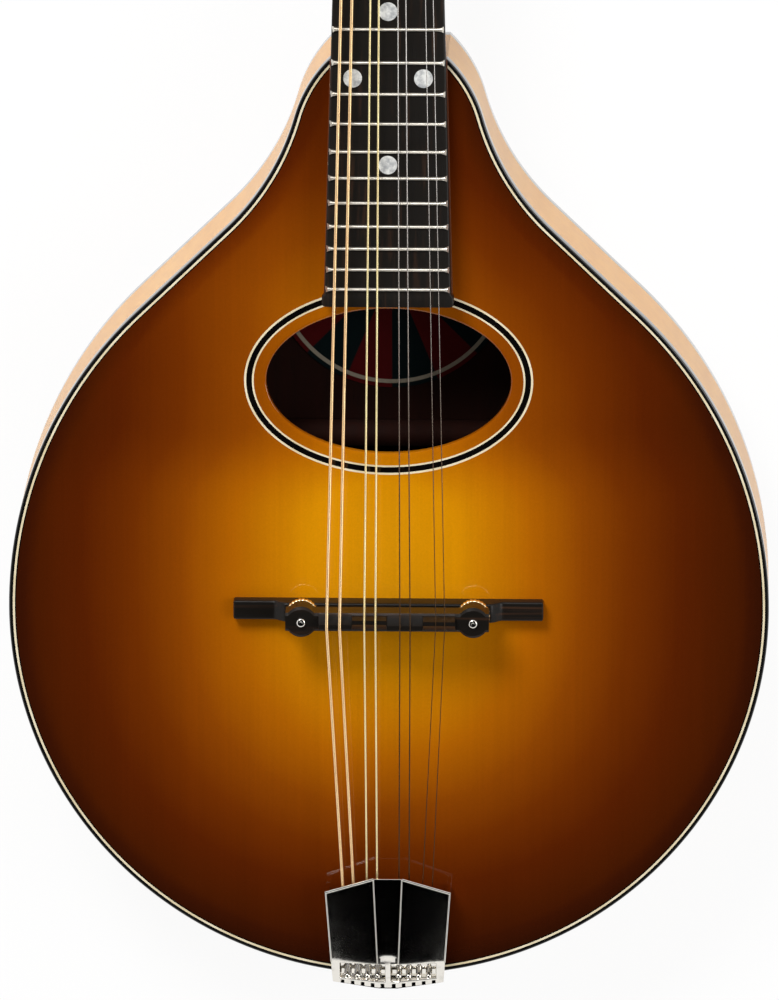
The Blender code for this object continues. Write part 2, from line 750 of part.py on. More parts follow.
def make_truss_rod(frame):
    length = HEAD_START + ROD_NUT_MARGIN + ROD_NUT_LENGTH - ROD_START
    along = (-math.pi / 2, 0, 0)
    height = NECK_TOP - ROD_SINK
    rod = rod_mesh("truss_rod", ROD_RADIUS, 0, length - ROD_NUT_LENGTH, THIN_STEPS)
    add_object("truss_rod", rod, "steel", frame, (0, ROD_START, height), along)
    nut = rod_mesh("truss_nut", ROD_NUT_RADIUS, FIT, ROD_NUT_LENGTH, HEXAGON)
    start = HEAD_START + ROD_NUT_MARGIN
    add_object("truss_nut", nut, "steel", frame, (0, start, height), along)


def make_fretboard(frame):
    ends = (NUT_Y - FIT, NUT_Y - BOARD_LENGTH)
    sections = []
    for y in ends:
        w = board_half_width(y)
        sections.append([(-w, y, -BOARD_THICKNESS), (w, y, -BOARD_THICKNESS), (w, y, 0), (-w, y, 0)])
    board = add_object("fretboard", loft_mesh("fretboard", sections), "ebony", frame)
    boolean(board, add_object("fret_wires", fret_wires_mesh(), parent=frame), "UNION")


def fret_y(number):
    return NUT_Y - SCALE_LENGTH * (1 - 2 ** (-number / 12))


def fret_wires_mesh():
    """All frets as one mesh: each a low bar with sloping faces, sunk a little in the board."""
    wires = bmesh.new()
    for number in range(1, FRET_COUNT + 1):
        y = fret_y(number)
        reach = board_half_width(y) - FRET_END_MARGIN
        bar = bmesh.ops.create_cube(wires, size=1)["verts"]
        for vert in bar:
            at_top = vert.co.z > 0
            width = FRET_CROWN_WIDTH if at_top else FRET_WIDTH
            slope = FRET_HEIGHT / 2 if at_top else 0
            vert.co.x = math.copysign(reach - slope, vert.co.x)
            vert.co.y = y + math.copysign(width / 2, vert.co.y)
            vert.co.z = FRET_HEIGHT if at_top else -FRET_HEIGHT / 2
    return mesh_from(wires, "fret_wires")


def make_riser(frame_height):
    """The wedge between the top and the fretboard's extension over it."""
    far = BOARD_END_Y + RISER_EDGE
    sections = []
    for y in (BODY_END_Y, far):
        along = (y - BODY_END_Y) / math.cos(NECK_ANGLE)
        w = board_half_width(along) + RISER_EDGE
        fall = (BODY_END_Y - y) * math.tan(NECK_ANGLE)
        top = frame_height + fall - (BOARD_THICKNESS + FIT) / math.cos(NECK_ANGLE)
        low = BODY_DEPTH + FIT
        sections.append([(-w, y, low), (w, y, low), (w, y, top), (-w, y, top)])
    add_object("board_riser", loft_mesh("board_riser", sections), "brown_neck")


def nut_top():
    return FRET_HEIGHT + NUT_RISE - COURSES["g"]["diameter"] / 2


def make_nut(frame):
    half = NUT_HALF_WIDTH
    low, high = NECK_TOP + FIT, nut_top()
    sections = []
    for x in (-half, half):
        front, back = NUT_Y, HEAD_START - FIT
        sections.append([(x, front, low), (x, front, high), (x, back, high - NUT_BACK_DROP), (x, back, low)])
    add_object("nut", loft_mesh("nut", sections), "bone", frame)


# Headstock. Its frame lies on the headstock's face at the nut, with +Y to the tip.


def head_outline(margin):
    """The headstock's edge, less a margin: flared shoulders, straight sides, a crowned tip."""
    lower, upper = HEAD_LOWER_HALF_WIDTH - margin, HEAD_UPPER_HALF_WIDTH - margin
    start = NUT_HALF_WIDTH - margin
    ease = np.linspace(0, 1, CURVE_STEPS + 1)
    flare = start + (lower - start) * ease * ease * (3 - 2 * ease)
    shoulder = np.stack([flare, margin + ease * HEAD_SHOULDER_LENGTH], 1)
    tip = HEAD_LENGTH - margin
    radius = HEAD_CORNER_RADIUS
    centre = (upper - radius, tip - HEAD_CROWN - radius)
    corner = arc(centre, radius, 0, HEAD_CORNER_TURN, SHOULDER_STEPS)
    crown_x = np.linspace(corner[-1, 0], 0, 4)[1:-1]
    crown_y = tip + (corner[-1, 1] - tip) * (crown_x / corner[-1, 0]) ** 2
    half = np.concatenate([shoulder, corner, np.stack([crown_x, crown_y], 1)])
    middle = np.array([[0, tip]])
    return np.concatenate([half, middle, half[::-1] * [-1, 1]])


def post_places():
    """Each string's post in the headstock frame: a pair's outer string takes the nearer post."""
    pairs = {"g": (-1, 0), "d": (-1, 2), "a": (1, 2), "e": (1, 0)}
    places = {}
    for course, (side, first) in pairs.items():
        for number in (1, 2):
            from_nut = first + (number - 1 if side < 0 else 2 - number)
            y = POST_FIRST + POST_SPACING * from_nut
            places[f"{course}{number}"] = (side * POST_ACROSS, y)
    return places


def post_holes(name, head):
    """Eight round bars, as one tool that drills the headstock or its overlay."""
    tools = bmesh.new()
    radius = POST_RADIUS + RUNNING_FIT
    for x, y in post_places().values():
        spot = Matrix.Translation((x, y, 0))
        bmesh.ops.create_cone(
            tools,
            cap_ends=True,
            segments=ROUND_STEPS,
            radius1=radius,
            radius2=radius,
            depth=4 * HEAD_THICKNESS,
            matrix=spot,
        )
    return add_object(name, mesh_from(tools, name), parent=head)


def make_overlay(frame, head):
    mesh = flat_mesh("head_overlay", [head_outline(OVERLAY_MARGIN)], FIT, FIT + OVERLAY_THICKNESS)
    overlay = add_object("head_overlay", mesh, "ebony", head)
    boolean(overlay, post_holes("overlay_post_holes", head))
    boolean(overlay, rod_pocket("overlay_pocket", frame))


def make_truss_cover(head):
    """A bell-shaped plate over the truss rod's pocket."""
    ease = np.linspace(0, 1, CURVE_STEPS + 1)
    y = OVERLAP + ease * COVER_LENGTH
    narrowing = 1 - (COVER_TIP_HALF_WIDTH / COVER_HALF_WIDTH) ** 2
    x = COVER_HALF_WIDTH * np.sqrt(1 - ease**2 * narrowing)
    half = np.stack([x, y], 1)
    outline = np.concatenate([half, half[::-1] * [-1, 1]])
    low = OVERLAY_THICKNESS + 2 * FIT
    mesh = flat_mesh("truss_cover", [outline], low, low + COVER_THICKNESS)
    add_object("truss_cover", mesh, "ebony", head)


# Tuners


PLATE_HIGH = -HEAD_THICKNESS - FIT
PLATE_LOW = PLATE_HIGH - PLATE_THICKNESS
SHAFT_HEIGHT = PLATE_LOW - WORM_RADIUS - RUNNING_FIT
GEAR_HIGH = SHAFT_HEIGHT + GEAR_THICKNESS / 2
WORM_OFFSET = GEAR_RADIUS + WORM_RADIUS + RUNNING_FIT
FACE_HIGH = OVERLAY_THICKNESS + FIT


def post_mesh(string_diameter):
    """A post with its worm wheel behind the headstock and its string's turns in front."""
    top = FACE_HIGH + POST_STAND
    wrap = POST_RADIUS + string_diameter
    wrap_high = WRAP_HEIGHT + WRAP_LENGTH / 2
    wrap_low = WRAP_HEIGHT - WRAP_LENGTH / 2
    low = GEAR_HIGH - GEAR_THICKNESS
    profile = [
        (0, top),
        (POST_RADIUS, top),
        (POST_RADIUS, wrap_high),
        (wrap, wrap_high),
        (wrap, wrap_low),
        (POST_RADIUS, wrap_low),
        (POST_RADIUS, low + OVERLAP / 2),
        (0, low + OVERLAP / 2),
    ]
    post = add_object("post_blank", turned_mesh("post_blank", profile))
    angles = np.arange(4 * GEAR_TEETH) * math.pi / (2 * GEAR_TEETH)
    radii = np.where(np.arange(4 * GEAR_TEETH) % 4 < 2, GEAR_RADIUS, GEAR_ROOT_RADIUS)
    teeth = np.stack([radii * np.cos(angles), radii * np.sin(angles)], 1)
    wheel = add_object("wheel_blank", flat_mesh("wheel_blank", [teeth], low, GEAR_HIGH))
    boolean(post, wheel, "UNION")
    mesh = baked_mesh(post)
    bpy.data.objects.remove(wheel)
    return mesh


def shaft_mesh():
    """A worm, its shaft and button along Z, with the worm's middle at the origin."""
    half = WORM_LENGTH / 2
    inner_end = -EAR_ACROSS - EAR_THICKNESS
    button_start = HEAD_UPPER_HALF_WIDTH + BUTTON_GAP - POST_ACROSS
    profile = [
        (0, button_start + BUTTON_LENGTH / 2),
        (SHAFT_RADIUS, button_start + BUTTON_LENGTH / 2),
        (SHAFT_RADIUS, half),
        (WORM_RADIUS, half),
        (WORM_RADIUS, -half),
        (SHAFT_RADIUS, -half),
        (SHAFT_RADIUS, inner_end),
        (0, inner_end),
    ]
    shaft = add_object("shaft_blank", turned_mesh("shaft_blank", profile, THIN_STEPS))
    knob = bmesh.new()
    bmesh.ops.create_uvsphere(knob, u_segments=ROUND_STEPS, v_segments=PIN_STEPS, radius=0.5)
    size = (BUTTON_THICKNESS, BUTTON_WIDTH, BUTTON_LENGTH)
    bmesh.ops.scale(knob, vec=size, verts=knob.verts)
    middle = (0, 0, button_start + BUTTON_LENGTH / 2)
    bmesh.ops.translate(knob, vec=middle, verts=knob.verts)
    button = add_object("button_blank", mesh_from(knob, "button_blank"))
    boolean(shaft, button, "UNION")
    mesh = baked_mesh(shaft)
    bpy.data.objects.remove(button)
    return mesh


def make_tuners(head):
    shaft = shaft_mesh()
    for name, (x, y) in post_places().items():
        post = post_mesh(COURSES[name[0]]["diameter"])
        add_object(f"tuner_post_{name}", post, "nickel", head, (x, y, 0))
        outward = (0, math.copysign(math.pi / 2, x), 0)
        place = (x, y + WORM_OFFSET, SHAFT_HEIGHT)
        add_object(f"tuner_button_{name}", shaft.copy(), "nickel", head, place, outward)


def make_tuner_plate(name, side, head):
    """A plate with two bearing ears for each worm shaft."""
    last = POST_FIRST + 3 * POST_SPACING
    middle = side * POST_ACROSS
    low_y, high_y = POST_FIRST - PLATE_MARGIN, last + WORM_OFFSET + PLATE_MARGIN
    low = (middle - PLATE_HALF_WIDTH, low_y, PLATE_LOW)
    high = (middle + PLATE_HALF_WIDTH, high_y, PLATE_HIGH)
    plate = add_object(name, box_mesh(name, low, high), "nickel", head)
    ears, bores = bmesh.new(), bmesh.new()
    bore_radius = SHAFT_RADIUS + RUNNING_FIT
    turn = Matrix.Rotation(math.pi / 2, 4, "Y")
    for number in range(4):
        y = POST_FIRST + number * POST_SPACING + WORM_OFFSET
        for across in (-EAR_ACROSS, EAR_ACROSS):
            ear_low = SHAFT_HEIGHT - EAR_MARGIN
            height = PLATE_LOW + PLATE_THICKNESS / 2 - ear_low
            ear = bmesh.ops.create_cube(ears, size=1)["verts"]
            bmesh.ops.scale(ears, vec=(EAR_THICKNESS, EAR_WIDTH, height), verts=ear)
            place = (middle + across, y, ear_low + height / 2)
            bmesh.ops.translate(ears, vec=place, verts=ear)
        spot = Matrix.Translation((middle, y, SHAFT_HEIGHT)) @ turn
        length = 3 * EAR_ACROSS
        bmesh.ops.create_cone(
            bores,
            cap_ends=True,
            segments=THIN_STEPS,
            radius1=bore_radius,
            radius2=bore_radius,
            depth=length,
            matrix=spot,
        )
    boolean(plate, add_object(f"{name}_ears", mesh_from(ears, f"{name}_ears"), parent=head), "UNION")
    boolean(plate, add_object(f"{name}_bores", mesh_from(bores, f"{name}_bores"), parent=head))
    boolean(plate, post_holes(f"{name}_post_holes", head))


# Bridge. Its frame lies on the top under the saddle.


WHEEL_LOW = BRIDGE_RAISED_HEIGHT + SADDLE_DROP + FIT
SADDLE_LOW = WHEEL_LOW + WHEEL_THICKNESS + FIT
SADDLE_TOP = SADDLE_LOW + SADDLE_HEIGHT


def make_bridge_base(frame):
    end, raised = BRIDGE_HALF_LENGTH, BRIDGE_RAISED_HALF_LENGTH
    half = [
        (end, 0),
        (end, BRIDGE_WING_HEIGHT),
        (raised + BRIDGE_RAMP, BRIDGE_WING_HEIGHT),
        (raised, BRIDGE_RAISED_HEIGHT),
    ]
    loop = half + [(-x, z) for x, z in half[::-1]]
    mesh = upright_mesh("bridge_base", loop, BRIDGE_WIDTH)
    base = add_object("bridge_base", mesh, "ebony", frame)
    for side, name in ((-1, "bass"), (1, "treble")):
        low = BRIDGE_RAISED_HEIGHT - BRIDGE_POST_SINK
        hole = rod_mesh(f"base_hole_{name}", BRIDGE_POST_RADIUS + FIT, low - FIT, SADDLE_LOW)
        place = (side * BRIDGE_POST_ACROSS, 0, 0)
        boolean(base, add_object(f"base_hole_{name}", hole, parent=frame, location=place))
        high = SADDLE_LOW + SADDLE_END_HEIGHT + SADDLE_LIFT
        post = rod_mesh(f"bridge_post_{name}", BRIDGE_POST_RADIUS, low, high)
        add_object(f"bridge_post_{name}", post, "nickel", frame, place)


def wheel_loops():
    count = 2 * WHEEL_NOTCHES
    angles = np.arange(count) * 2 * math.pi / count
    radii = WHEEL_RADIUS - WHEEL_NOTCH * (np.arange(count) % 2)
    rim = np.stack([radii * np.cos(angles), radii * np.sin(angles)], 1)
    bore = arc((0, 0), BRIDGE_POST_RADIUS + RUNNING_FIT, 0, 2 * math.pi, ROUND_STEPS)[:-1]
    return [rim, bore]


def make_thumbwheels(frame):
    mesh = flat_mesh("thumbwheel", wheel_loops(), 0, WHEEL_THICKNESS)
    for side, name in ((-1, "bass"), (1, "treble")):
        place = (side * BRIDGE_POST_ACROSS, 0, WHEEL_LOW)
        add_object(f"thumbwheel_{name}", mesh.copy(), "nickel", frame, place)


def saddle_blade_mesh():
    """The raised middle of the saddle, whose sides lean in to a narrow ridge."""
    wide, ridge = SADDLE_WIDTH / 2 - OVERLAP / 4, SADDLE_RIDGE_WIDTH / 2
    half = [(wide, OVERLAP), (wide, SADDLE_END_HEIGHT), (ridge, SADDLE_HEIGHT)]
    side = half + [(-y, z) for y, z in half[::-1]]
    blade = SADDLE_BLADE_HALF_LENGTH
    return loft_mesh("saddle_blade", [[(x, y, z) for y, z in side] for x in (-blade, blade)])


def make_saddle(frame):
    """The blade that carries the strings, with a boss at each end over its post."""
    end, half = SADDLE_HALF_LENGTH, SADDLE_WIDTH / 2
    mesh = box_mesh("saddle", (-end, -half, 0), (end, half, SADDLE_END_HEIGHT))
    place = (0, 0, SADDLE_LOW)
    saddle = add_object("saddle", mesh, "ebony", frame, place)
    blade = add_object("saddle_blade", saddle_blade_mesh(), parent=frame, location=place)
    boolean(saddle, blade, "UNION")
    for side, name in ((-1, "bass"), (1, "treble")):
        spot = (side * BRIDGE_POST_ACROSS, 0, SADDLE_LOW)
        boss = rod_mesh(f"boss_{name}", SADDLE_BOSS_RADIUS, 0, SADDLE_END_HEIGHT, KNOB_STEPS)
        boolean(saddle, add_object(f"boss_{name}", boss, parent=frame, location=spot), "UNION")
        bore = BRIDGE_POST_RADIUS + RUNNING_FIT
        hole = rod_mesh(f"boss_hole_{name}", bore, -OVERLAP, SADDLE_HEIGHT)
        boolean(saddle, add_object(f"boss_hole_{name}", hole, parent=frame, location=spot))


# Tailpiece. Its frame is at the body's tail, level with the top.


# A section's three flat facets, by its corners' numbers
TAILPIECE_FACETS = [(0, 1, 2, 7), (7, 2, 3, 6), (6, 3, 4, 5)]


def tailpiece_section(back_share, wall, y_shift=0.0):
    """A ring of the casting: floor, side edges and the ridge between its facets."""
    mix = back_share
    ridge_y = TAILPIECE_FRONT * (1 - mix) - TAILPIECE_BACK * mix
    sweep = TAILPIECE_SWEEP * (1 - mix) - TAILPIECE_BACK_SWEEP * mix
    half = TAILPIECE_FRONT_HALF_WIDTH * (1 - mix) + TAILPIECE_BACK_HALF_WIDTH * mix
    ridge = TAILPIECE_RIDGE_FRONT * (1 - mix) + TAILPIECE_RIDGE_BACK * mix
    height = TAILPIECE_FRONT_HEIGHT * (1 - mix) + TAILPIECE_BACK_HEIGHT * mix
    floor = TAILPIECE_FLOOR + wall
    half, height = half - wall, height - wall
    side_y, ridge_y = ridge_y - sweep + y_shift, ridge_y + y_shift
    side = height - TAILPIECE_FALL
    return [
        (-half, side_y, floor),
        (-half, side_y, side),
        (-ridge, ridge_y, height),
        (ridge, ridge_y, height),
        (half, side_y, side),
        (half, side_y, floor),
        (ridge, ridge_y, floor),
        (-ridge, ridge_y, floor),
    ]


def make_tailpiece(frame):
    shell = [tailpiece_section(share, 0) for share in (0, 1)]
    mesh = loft_mesh("tailpiece", shell, TAILPIECE_FACETS)
    tailpiece = add_object("tailpiece", mesh, "nickel", frame)
    flange_low = (-FLANGE_HALF_WIDTH, -FIT - FLANGE_THICKNESS, -FLANGE_DROP)
    flange_high = (FLANGE_HALF_WIDTH, -FIT, TAILPIECE_FLOOR + 2 * TAILPIECE_WALL)
    flange = add_object("flange", box_mesh("flange", flange_low, flange_high), parent=frame)
    boolean(tailpiece, flange, "UNION")
    total = TAILPIECE_FRONT + TAILPIECE_BACK
    back_share = (TAILPIECE_FRONT - WINDOW_BACK) / total
    hollow = [
        tailpiece_section(0, TAILPIECE_WALL, y_shift=OVERLAP),
        tailpiece_section(back_share, TAILPIECE_WALL),
    ]
    chamber = loft_mesh("chamber", hollow, TAILPIECE_FACETS)
    boolean(tailpiece, add_object("chamber", chamber, parent=frame))
    for side in (-1, 1):
        xs = sorted((side * WINDOW_INNER, side * WINDOW_OUTER))
        name = f"window_{'bass' if side < 0 else 'treble'}"
        low = (xs[0], WINDOW_BACK + FIT, TAILPIECE_FLOOR + 2 * TAILPIECE_WALL)
        high = (xs[1], WINDOW_FRONT, TAILPIECE_FRONT_HEIGHT + OVERLAP)
        boolean(tailpiece, add_object(name, box_mesh(name, low, high), parent=frame))
    boolean(tailpiece, add_object("string_pins", string_pins_mesh(), parent=frame), "UNION")
    boolean(tailpiece, end_pin_bore("flange_bore"))


def pin_places():
    places = {}
    for number, name in enumerate(["d2", "d1", "g2", "g1"]):
        places[name] = -PIN_FIRST - number * PIN_SPACING
    for number, name in enumerate(["a1", "a2", "e1", "e2"]):
        places[name] = PIN_FIRST + number * PIN_SPACING
    return places


def string_pins_mesh():
    pins = bmesh.new()
    low = TAILPIECE_FLOOR + TAILPIECE_WALL / 2
    for x in pin_places().values():
        spot = Matrix.Translation((x, PIN_PLACE, (low + PIN_TOP) / 2))
        bmesh.ops.create_cone(
            pins,
            cap_ends=True,
            segments=PIN_STEPS,
            radius1=PIN_RADIUS,
            radius2=PIN_RADIUS,
            depth=PIN_TOP - low,
            matrix=spot,
        )
    return mesh_from(pins, "string_pins")


END_PIN_SEAT = TAIL_Y - FIT - FLANGE_THICKNESS - FIT
TO_TAIL = (math.pi / 2, 0, 0)


def end_pin_bore(name):
    bore = rod_mesh(name, END_PIN_RADIUS + FIT, -2 * TAIL_BLOCK_LENGTH, 2 * TAIL_BLOCK_LENGTH)
    return add_object(name, bore, location=(0, TAIL_Y, BODY_DEPTH / 2), turn=TO_TAIL)


def end_pin_profile():
    """The knob from its flat face to its seat, and the stem inside the tail block."""
    edge = END_PIN_HEAD_LENGTH - END_PIN_CROWN
    stem = TAIL_BLOCK_LENGTH + FLANGE_THICKNESS
    return [
        (0, END_PIN_HEAD_LENGTH),
        (END_PIN_FACE_RADIUS, END_PIN_HEAD_LENGTH),
        (END_PIN_HEAD_RADIUS, edge),
        (END_PIN_HEAD_RADIUS, edge - END_PIN_EDGE),
        (END_PIN_WAIST_RADIUS, END_PIN_WAIST_HEIGHT),
        (END_PIN_COLLAR_RADIUS, 0),
        (END_PIN_RADIUS, 0),
        (END_PIN_TIP_RADIUS, -stem),
        (0, -stem),
    ]


def make_end_pin():
    mesh = turned_mesh("end_pin", end_pin_profile(), KNOB_STEPS)
    place = (0, END_PIN_SEAT, BODY_DEPTH / 2)
    add_object("end_pin", mesh, "ebony", location=place, turn=TO_TAIL)


# Strings


def string_points(name, frames):
    """World points of a string: at its post, over the nut, over the saddle, at its pin."""
    neck, head, bridge, tail = frames
    course = COURSES[name[0]]
    radius = course["diameter"] / 2
    side = -0.5 if name[1] == "1" else 0.5
    clear = radius + FIT
    post_x, post_y = post_places()[name]
    inward = math.copysign(POST_RADIUS + course["diameter"] + clear, post_x)
    at_post = head.matrix_world @ Vector((post_x - inward, post_y, WRAP_HEIGHT))
    nut_x = course["nut"] + side * course["gaps"][0]
    at_nut = neck.matrix_world @ Vector((nut_x, NUT_Y + FIT, nut_top() + clear))
    saddle_x = course["saddle"] + side * course["gaps"][1]
    at_saddle = bridge.matrix_world @ Vector((saddle_x, 0, SADDLE_TOP + clear))
    pin_y = PIN_PLACE + PIN_RADIUS + clear
    at_pin = tail.matrix_world @ Vector((pin_places()[name], pin_y, STRING_END_HEIGHT))
    return [at_post, at_nut, at_saddle, at_pin]


def make_strings(frames):
    for course_name, course in COURSES.items():
        for place in (1, 2):
            name = f"string_{course_name}{place}"
            curve = bpy.data.curves.new(name, "CURVE")
            curve.dimensions = "3D"
            curve.bevel_depth = course["diameter"] / 2
            curve.bevel_resolution = 1
            curve.use_fill_caps = True
            points = string_points(f"{course_name}{place}", frames)
            spline = curve.splines.new("POLY")
            spline.points.add(len(points) - 1)
            for point, spot in zip(spline.points, points):
                point.co = (*spot, 1)
            mesh = baked_mesh(add_object(name, curve))
            add_object(name, mesh, "bronze" if course_name in "gd" else "steel")


def main():
    frame_height = BODY_DEPTH + BOARD_RISE
    neck = add_empty("neck_frame", location=(0, BODY_END_Y, frame_height), tilt=-NECK_ANGLE)
    head = add_empty("head_frame", neck, (0, HEAD_START, NECK_TOP), -HEAD_PITCH)
    bridge = add_empty("bridge_frame", location=(0, BRIDGE_Y, BODY_DEPTH + FIT))
    tail = add_empty("tail_frame", location=(0, TAIL_Y, BODY_DEPTH))
    make_top_plate()
    make_rosette()
    make_back_plate()
    make_bindings()
    make_rim()
    make_linings()
    make_blocks()
    make_braces()
    make_label()
    make_neck(neck, head)
    make_truss_rod(neck)
    make_fretboard(neck)
    make_riser(frame_height)
    make_nut(neck)
    make_overlay(neck, head)
    make_truss_cover(head)
    make_tuners(head)
    make_tuner_plate("tuner_plate_bass", -1, head)
    make_tuner_plate("tuner_plate_treble", 1, head)
    make_bridge_base(bridge)
    make_thumbwheels(bridge)
    make_saddle(bridge)
    make_tailpiece(tail)
    make_end_pin()
    make_strings((neck, head, bridge, tail))


main()
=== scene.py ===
# %% [markdown]
# # A flat top mandolin, piece by piece
# This notebook dresses a mandolin for its picture. Its solids were made first, as a workshop
# makes them: plates, sides, neck, bridge and so on. They are loaded here as a fixed frame in
# metres, with +Z up out of the top, +Y towards the headstock and +X to the thin strings.
# Each cell makes one finish or one piece, and says why it is made that way.

# %% The frame
import bpy
import bmesh
import math
import numpy as np
from mathutils import Matrix


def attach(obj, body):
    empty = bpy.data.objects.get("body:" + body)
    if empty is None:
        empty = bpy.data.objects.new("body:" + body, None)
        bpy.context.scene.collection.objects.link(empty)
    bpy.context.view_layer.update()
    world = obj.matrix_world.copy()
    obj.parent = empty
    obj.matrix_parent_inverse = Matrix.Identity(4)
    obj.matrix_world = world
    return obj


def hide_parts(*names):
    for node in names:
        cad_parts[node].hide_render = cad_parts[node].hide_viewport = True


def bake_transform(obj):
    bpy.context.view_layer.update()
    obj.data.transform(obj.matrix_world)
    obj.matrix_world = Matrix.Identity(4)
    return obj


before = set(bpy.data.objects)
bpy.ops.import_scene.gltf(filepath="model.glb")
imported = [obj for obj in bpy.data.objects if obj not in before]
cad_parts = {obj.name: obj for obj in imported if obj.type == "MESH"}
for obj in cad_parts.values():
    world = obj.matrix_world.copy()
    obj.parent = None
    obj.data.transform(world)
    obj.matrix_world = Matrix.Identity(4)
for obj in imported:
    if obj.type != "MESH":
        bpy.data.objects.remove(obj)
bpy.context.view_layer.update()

# %% [markdown]
# ## The camera
# The instrument was photographed from far away, nearly square on, from a little above the neck.
# A long lens four metres off gives the same near-parallel lines. The camera looks at a point on
# the top, and its three axes come from two small angles: 14 degrees towards the headstock and
# 1.5 degrees towards the thin strings.

# %% Camera
NECKWARD, TREBLEWARD = math.radians(14.0), math.radians(1.5)
LOOK = np.array([0.0003, 0.0360, 0.0455])
TOWARDS_CAMERA = np.array([
    math.sin(TREBLEWARD),
    math.cos(TREBLEWARD) * math.sin(NECKWARD),
    math.cos(TREBLEWARD) * math.cos(NECKWARD),
])


def unit(vector):
    return np.asarray(vector, float) / np.linalg.norm(vector)


def add_camera(distance=4.0, lens=432.0):
    """A camera whose picture plane is square to TOWARDS_CAMERA, with +Y up in the picture."""
    right = unit(np.cross([0.0, 1.0, 0.0], TOWARDS_CAMERA))
    up = np.cross(TOWARDS_CAMERA, right)
    data = bpy.data.cameras.new("camera")
    data.lens, data.sensor_width, data.sensor_fit = lens, 36.0, "AUTO"
    camera = bpy.data.objects.new("camera", data)
    matrix = np.eye(4)
    matrix[:3, :3] = np.stack([right, up, TOWARDS_CAMERA], 1)
    matrix[:3, 3] = LOOK + distance * TOWARDS_CAMERA
    camera.matrix_world = Matrix(matrix.tolist())
    bpy.context.scene.collection.objects.link(camera)
    bpy.context.scene.camera = camera
    return camera


camera = add_camera()
print("camera at", [round(value, 3) for value in camera.location])

# %% [markdown]
# ## How a finish is written
# A finish is a node tree. `Signal` wraps one output of a node, so that `1 - mask * 0.5` adds the
# Math nodes that the formula needs. `Tree` adds every other node with one method. `Finish`
# starts a material and sets the shader's constant values on its own sockets.

# %% Signals
class Signal:
    """One output of a node; Python's operators on it add Math nodes."""

    def __init__(self, tree, socket):
        self.tree, self.socket = tree, socket

    def math(self, operation, *values):
        return self.tree.add("Math", {"operation": operation}, *values)

    def __add__(self, other):
        return self.math("ADD", self, other)

    __radd__ = __add__

    def __sub__(self, other):
        return self.math("SUBTRACT", self, other)

    def __rsub__(self, other):
        return self.math("SUBTRACT", other, self)

    def __mul__(self, other):
        return self.math("MULTIPLY", self, other)

    __rmul__ = __mul__

    def __truediv__(self, other):
        return self.math("DIVIDE", self, other)

    def __rtruediv__(self, other):
        return self.math("DIVIDE", other, self)

    def sine(self):
        return self.math("SINE", self)

    def root(self):
        return self.math("SQRT", self)

    def at_most(self, limit):
        return self.math("MINIMUM", self, limit)

    def between(self, low, high):
        """0 below low, 1 above high, and smooth from one to the other."""
        settings = {"interpolation_type": "SMOOTHSTEP"}
        return self.tree.add("MapRange", settings, self, low, high, 0.0, 1.0)

    def beside(self, name):
        """Another output of the same node."""
        return Signal(self.tree, self.socket.node.outputs[name])


print("signals: ready")

# %% Node trees
class Tree:
    """A node tree, with one way to add a node and one to fill a socket."""

    def __init__(self, tree):
        self.tree = tree

    def add(self, kind, settings=None, *values, **named):
        """Adds a node: its settings first, then values or links for its open sockets."""
        node = self.tree.nodes.new("ShaderNode" + kind)
        for key, value in (settings or {}).items():
            if key == "stops":
                ramp = node.color_ramp
                while len(ramp.elements) < len(value):
                    ramp.elements.new(1.0)
                for element, (position, colour) in zip(ramp.elements, value):
                    element.position, element.color = position, colour
            else:
                setattr(node, key, value)
        sockets = [socket for socket in node.inputs if socket.enabled]
        for socket, value in zip(sockets, values):
            self.feed(socket, value)
        for key, value in named.items():
            self.feed(next(s for s in sockets if s.name == key.replace("_", " ")), value)
        return Signal(self, next(socket for socket in node.outputs if socket.enabled))

    def feed(self, socket, value):
        if isinstance(value, Signal):
            self.tree.links.new(value.socket, socket)
        else:
            socket.default_value = value


print("node trees: ready")

# %% Finishes
class Finish(Tree):
    """A material in the making: constants on the shader, then nodes for what varies."""

    def __init__(self, name, **constants):
        self.material = bpy.data.materials.new(name)
        self.material.use_nodes = True
        super().__init__(self.material.node_tree)
        self.shader = self.tree.nodes["Principled BSDF"]
        self.vary(**constants)

    def vary(self, **values):
        """Fills the shader's sockets, such as Base_Color, with numbers or signals."""
        for key, value in values.items():
            self.feed(self.shader.inputs[key.replace("_", " ")], value)

    def place(self, scale=(1.0, 1.0, 1.0)):
        """The point on the object in metres, scaled by a Mapping node."""
        point = self.add("TexCoord").beside("Object")
        return self.add("Mapping", None, point, Scale=scale)

    def drawn(self, share, axis=1):
        """The point with one axis shrunk, so that a pattern runs long that way."""
        scale = [1.0, 1.0, 1.0]
        scale[axis] = share
        return self.place(scale)

    def along_y(self):
        """The distance along the object's Y in metres."""
        return self.add("SeparateXYZ", None, self.place()).beside("Y")

    def noise(self, point, scale, detail=2.0, roughness=0.5):
        return self.add("TexNoise", None, Vector=point, Scale=scale, Detail=detail,
                        Roughness=roughness)

    def mix(self, share, one, two):
        """One colour into another by a share from 0 to 1."""
        return self.add("Mix", {"data_type": "RGBA"}, share, one, two)

    def shade(self, colour, strength):
        """A colour made lighter or darker by a number."""
        return self.add("VectorMath", {"operation": "SCALE"}, colour, Scale=strength)

    def bump(self, height, distance, strength=1.0):
        return self.add("Bump", None, Strength=strength, Distance=distance, Height=height)


def colour(red, green, blue):
    """A screen colour from 0 to 255 as the linear colour that a shader takes."""
    share = np.array([red, green, blue]) / 255.0
    linear = np.where(share <= 0.04045, share / 12.92, ((share + 0.055) / 1.055) ** 2.4)
    return (*[float(value) for value in linear], 1.0)


print("finishes: ready")

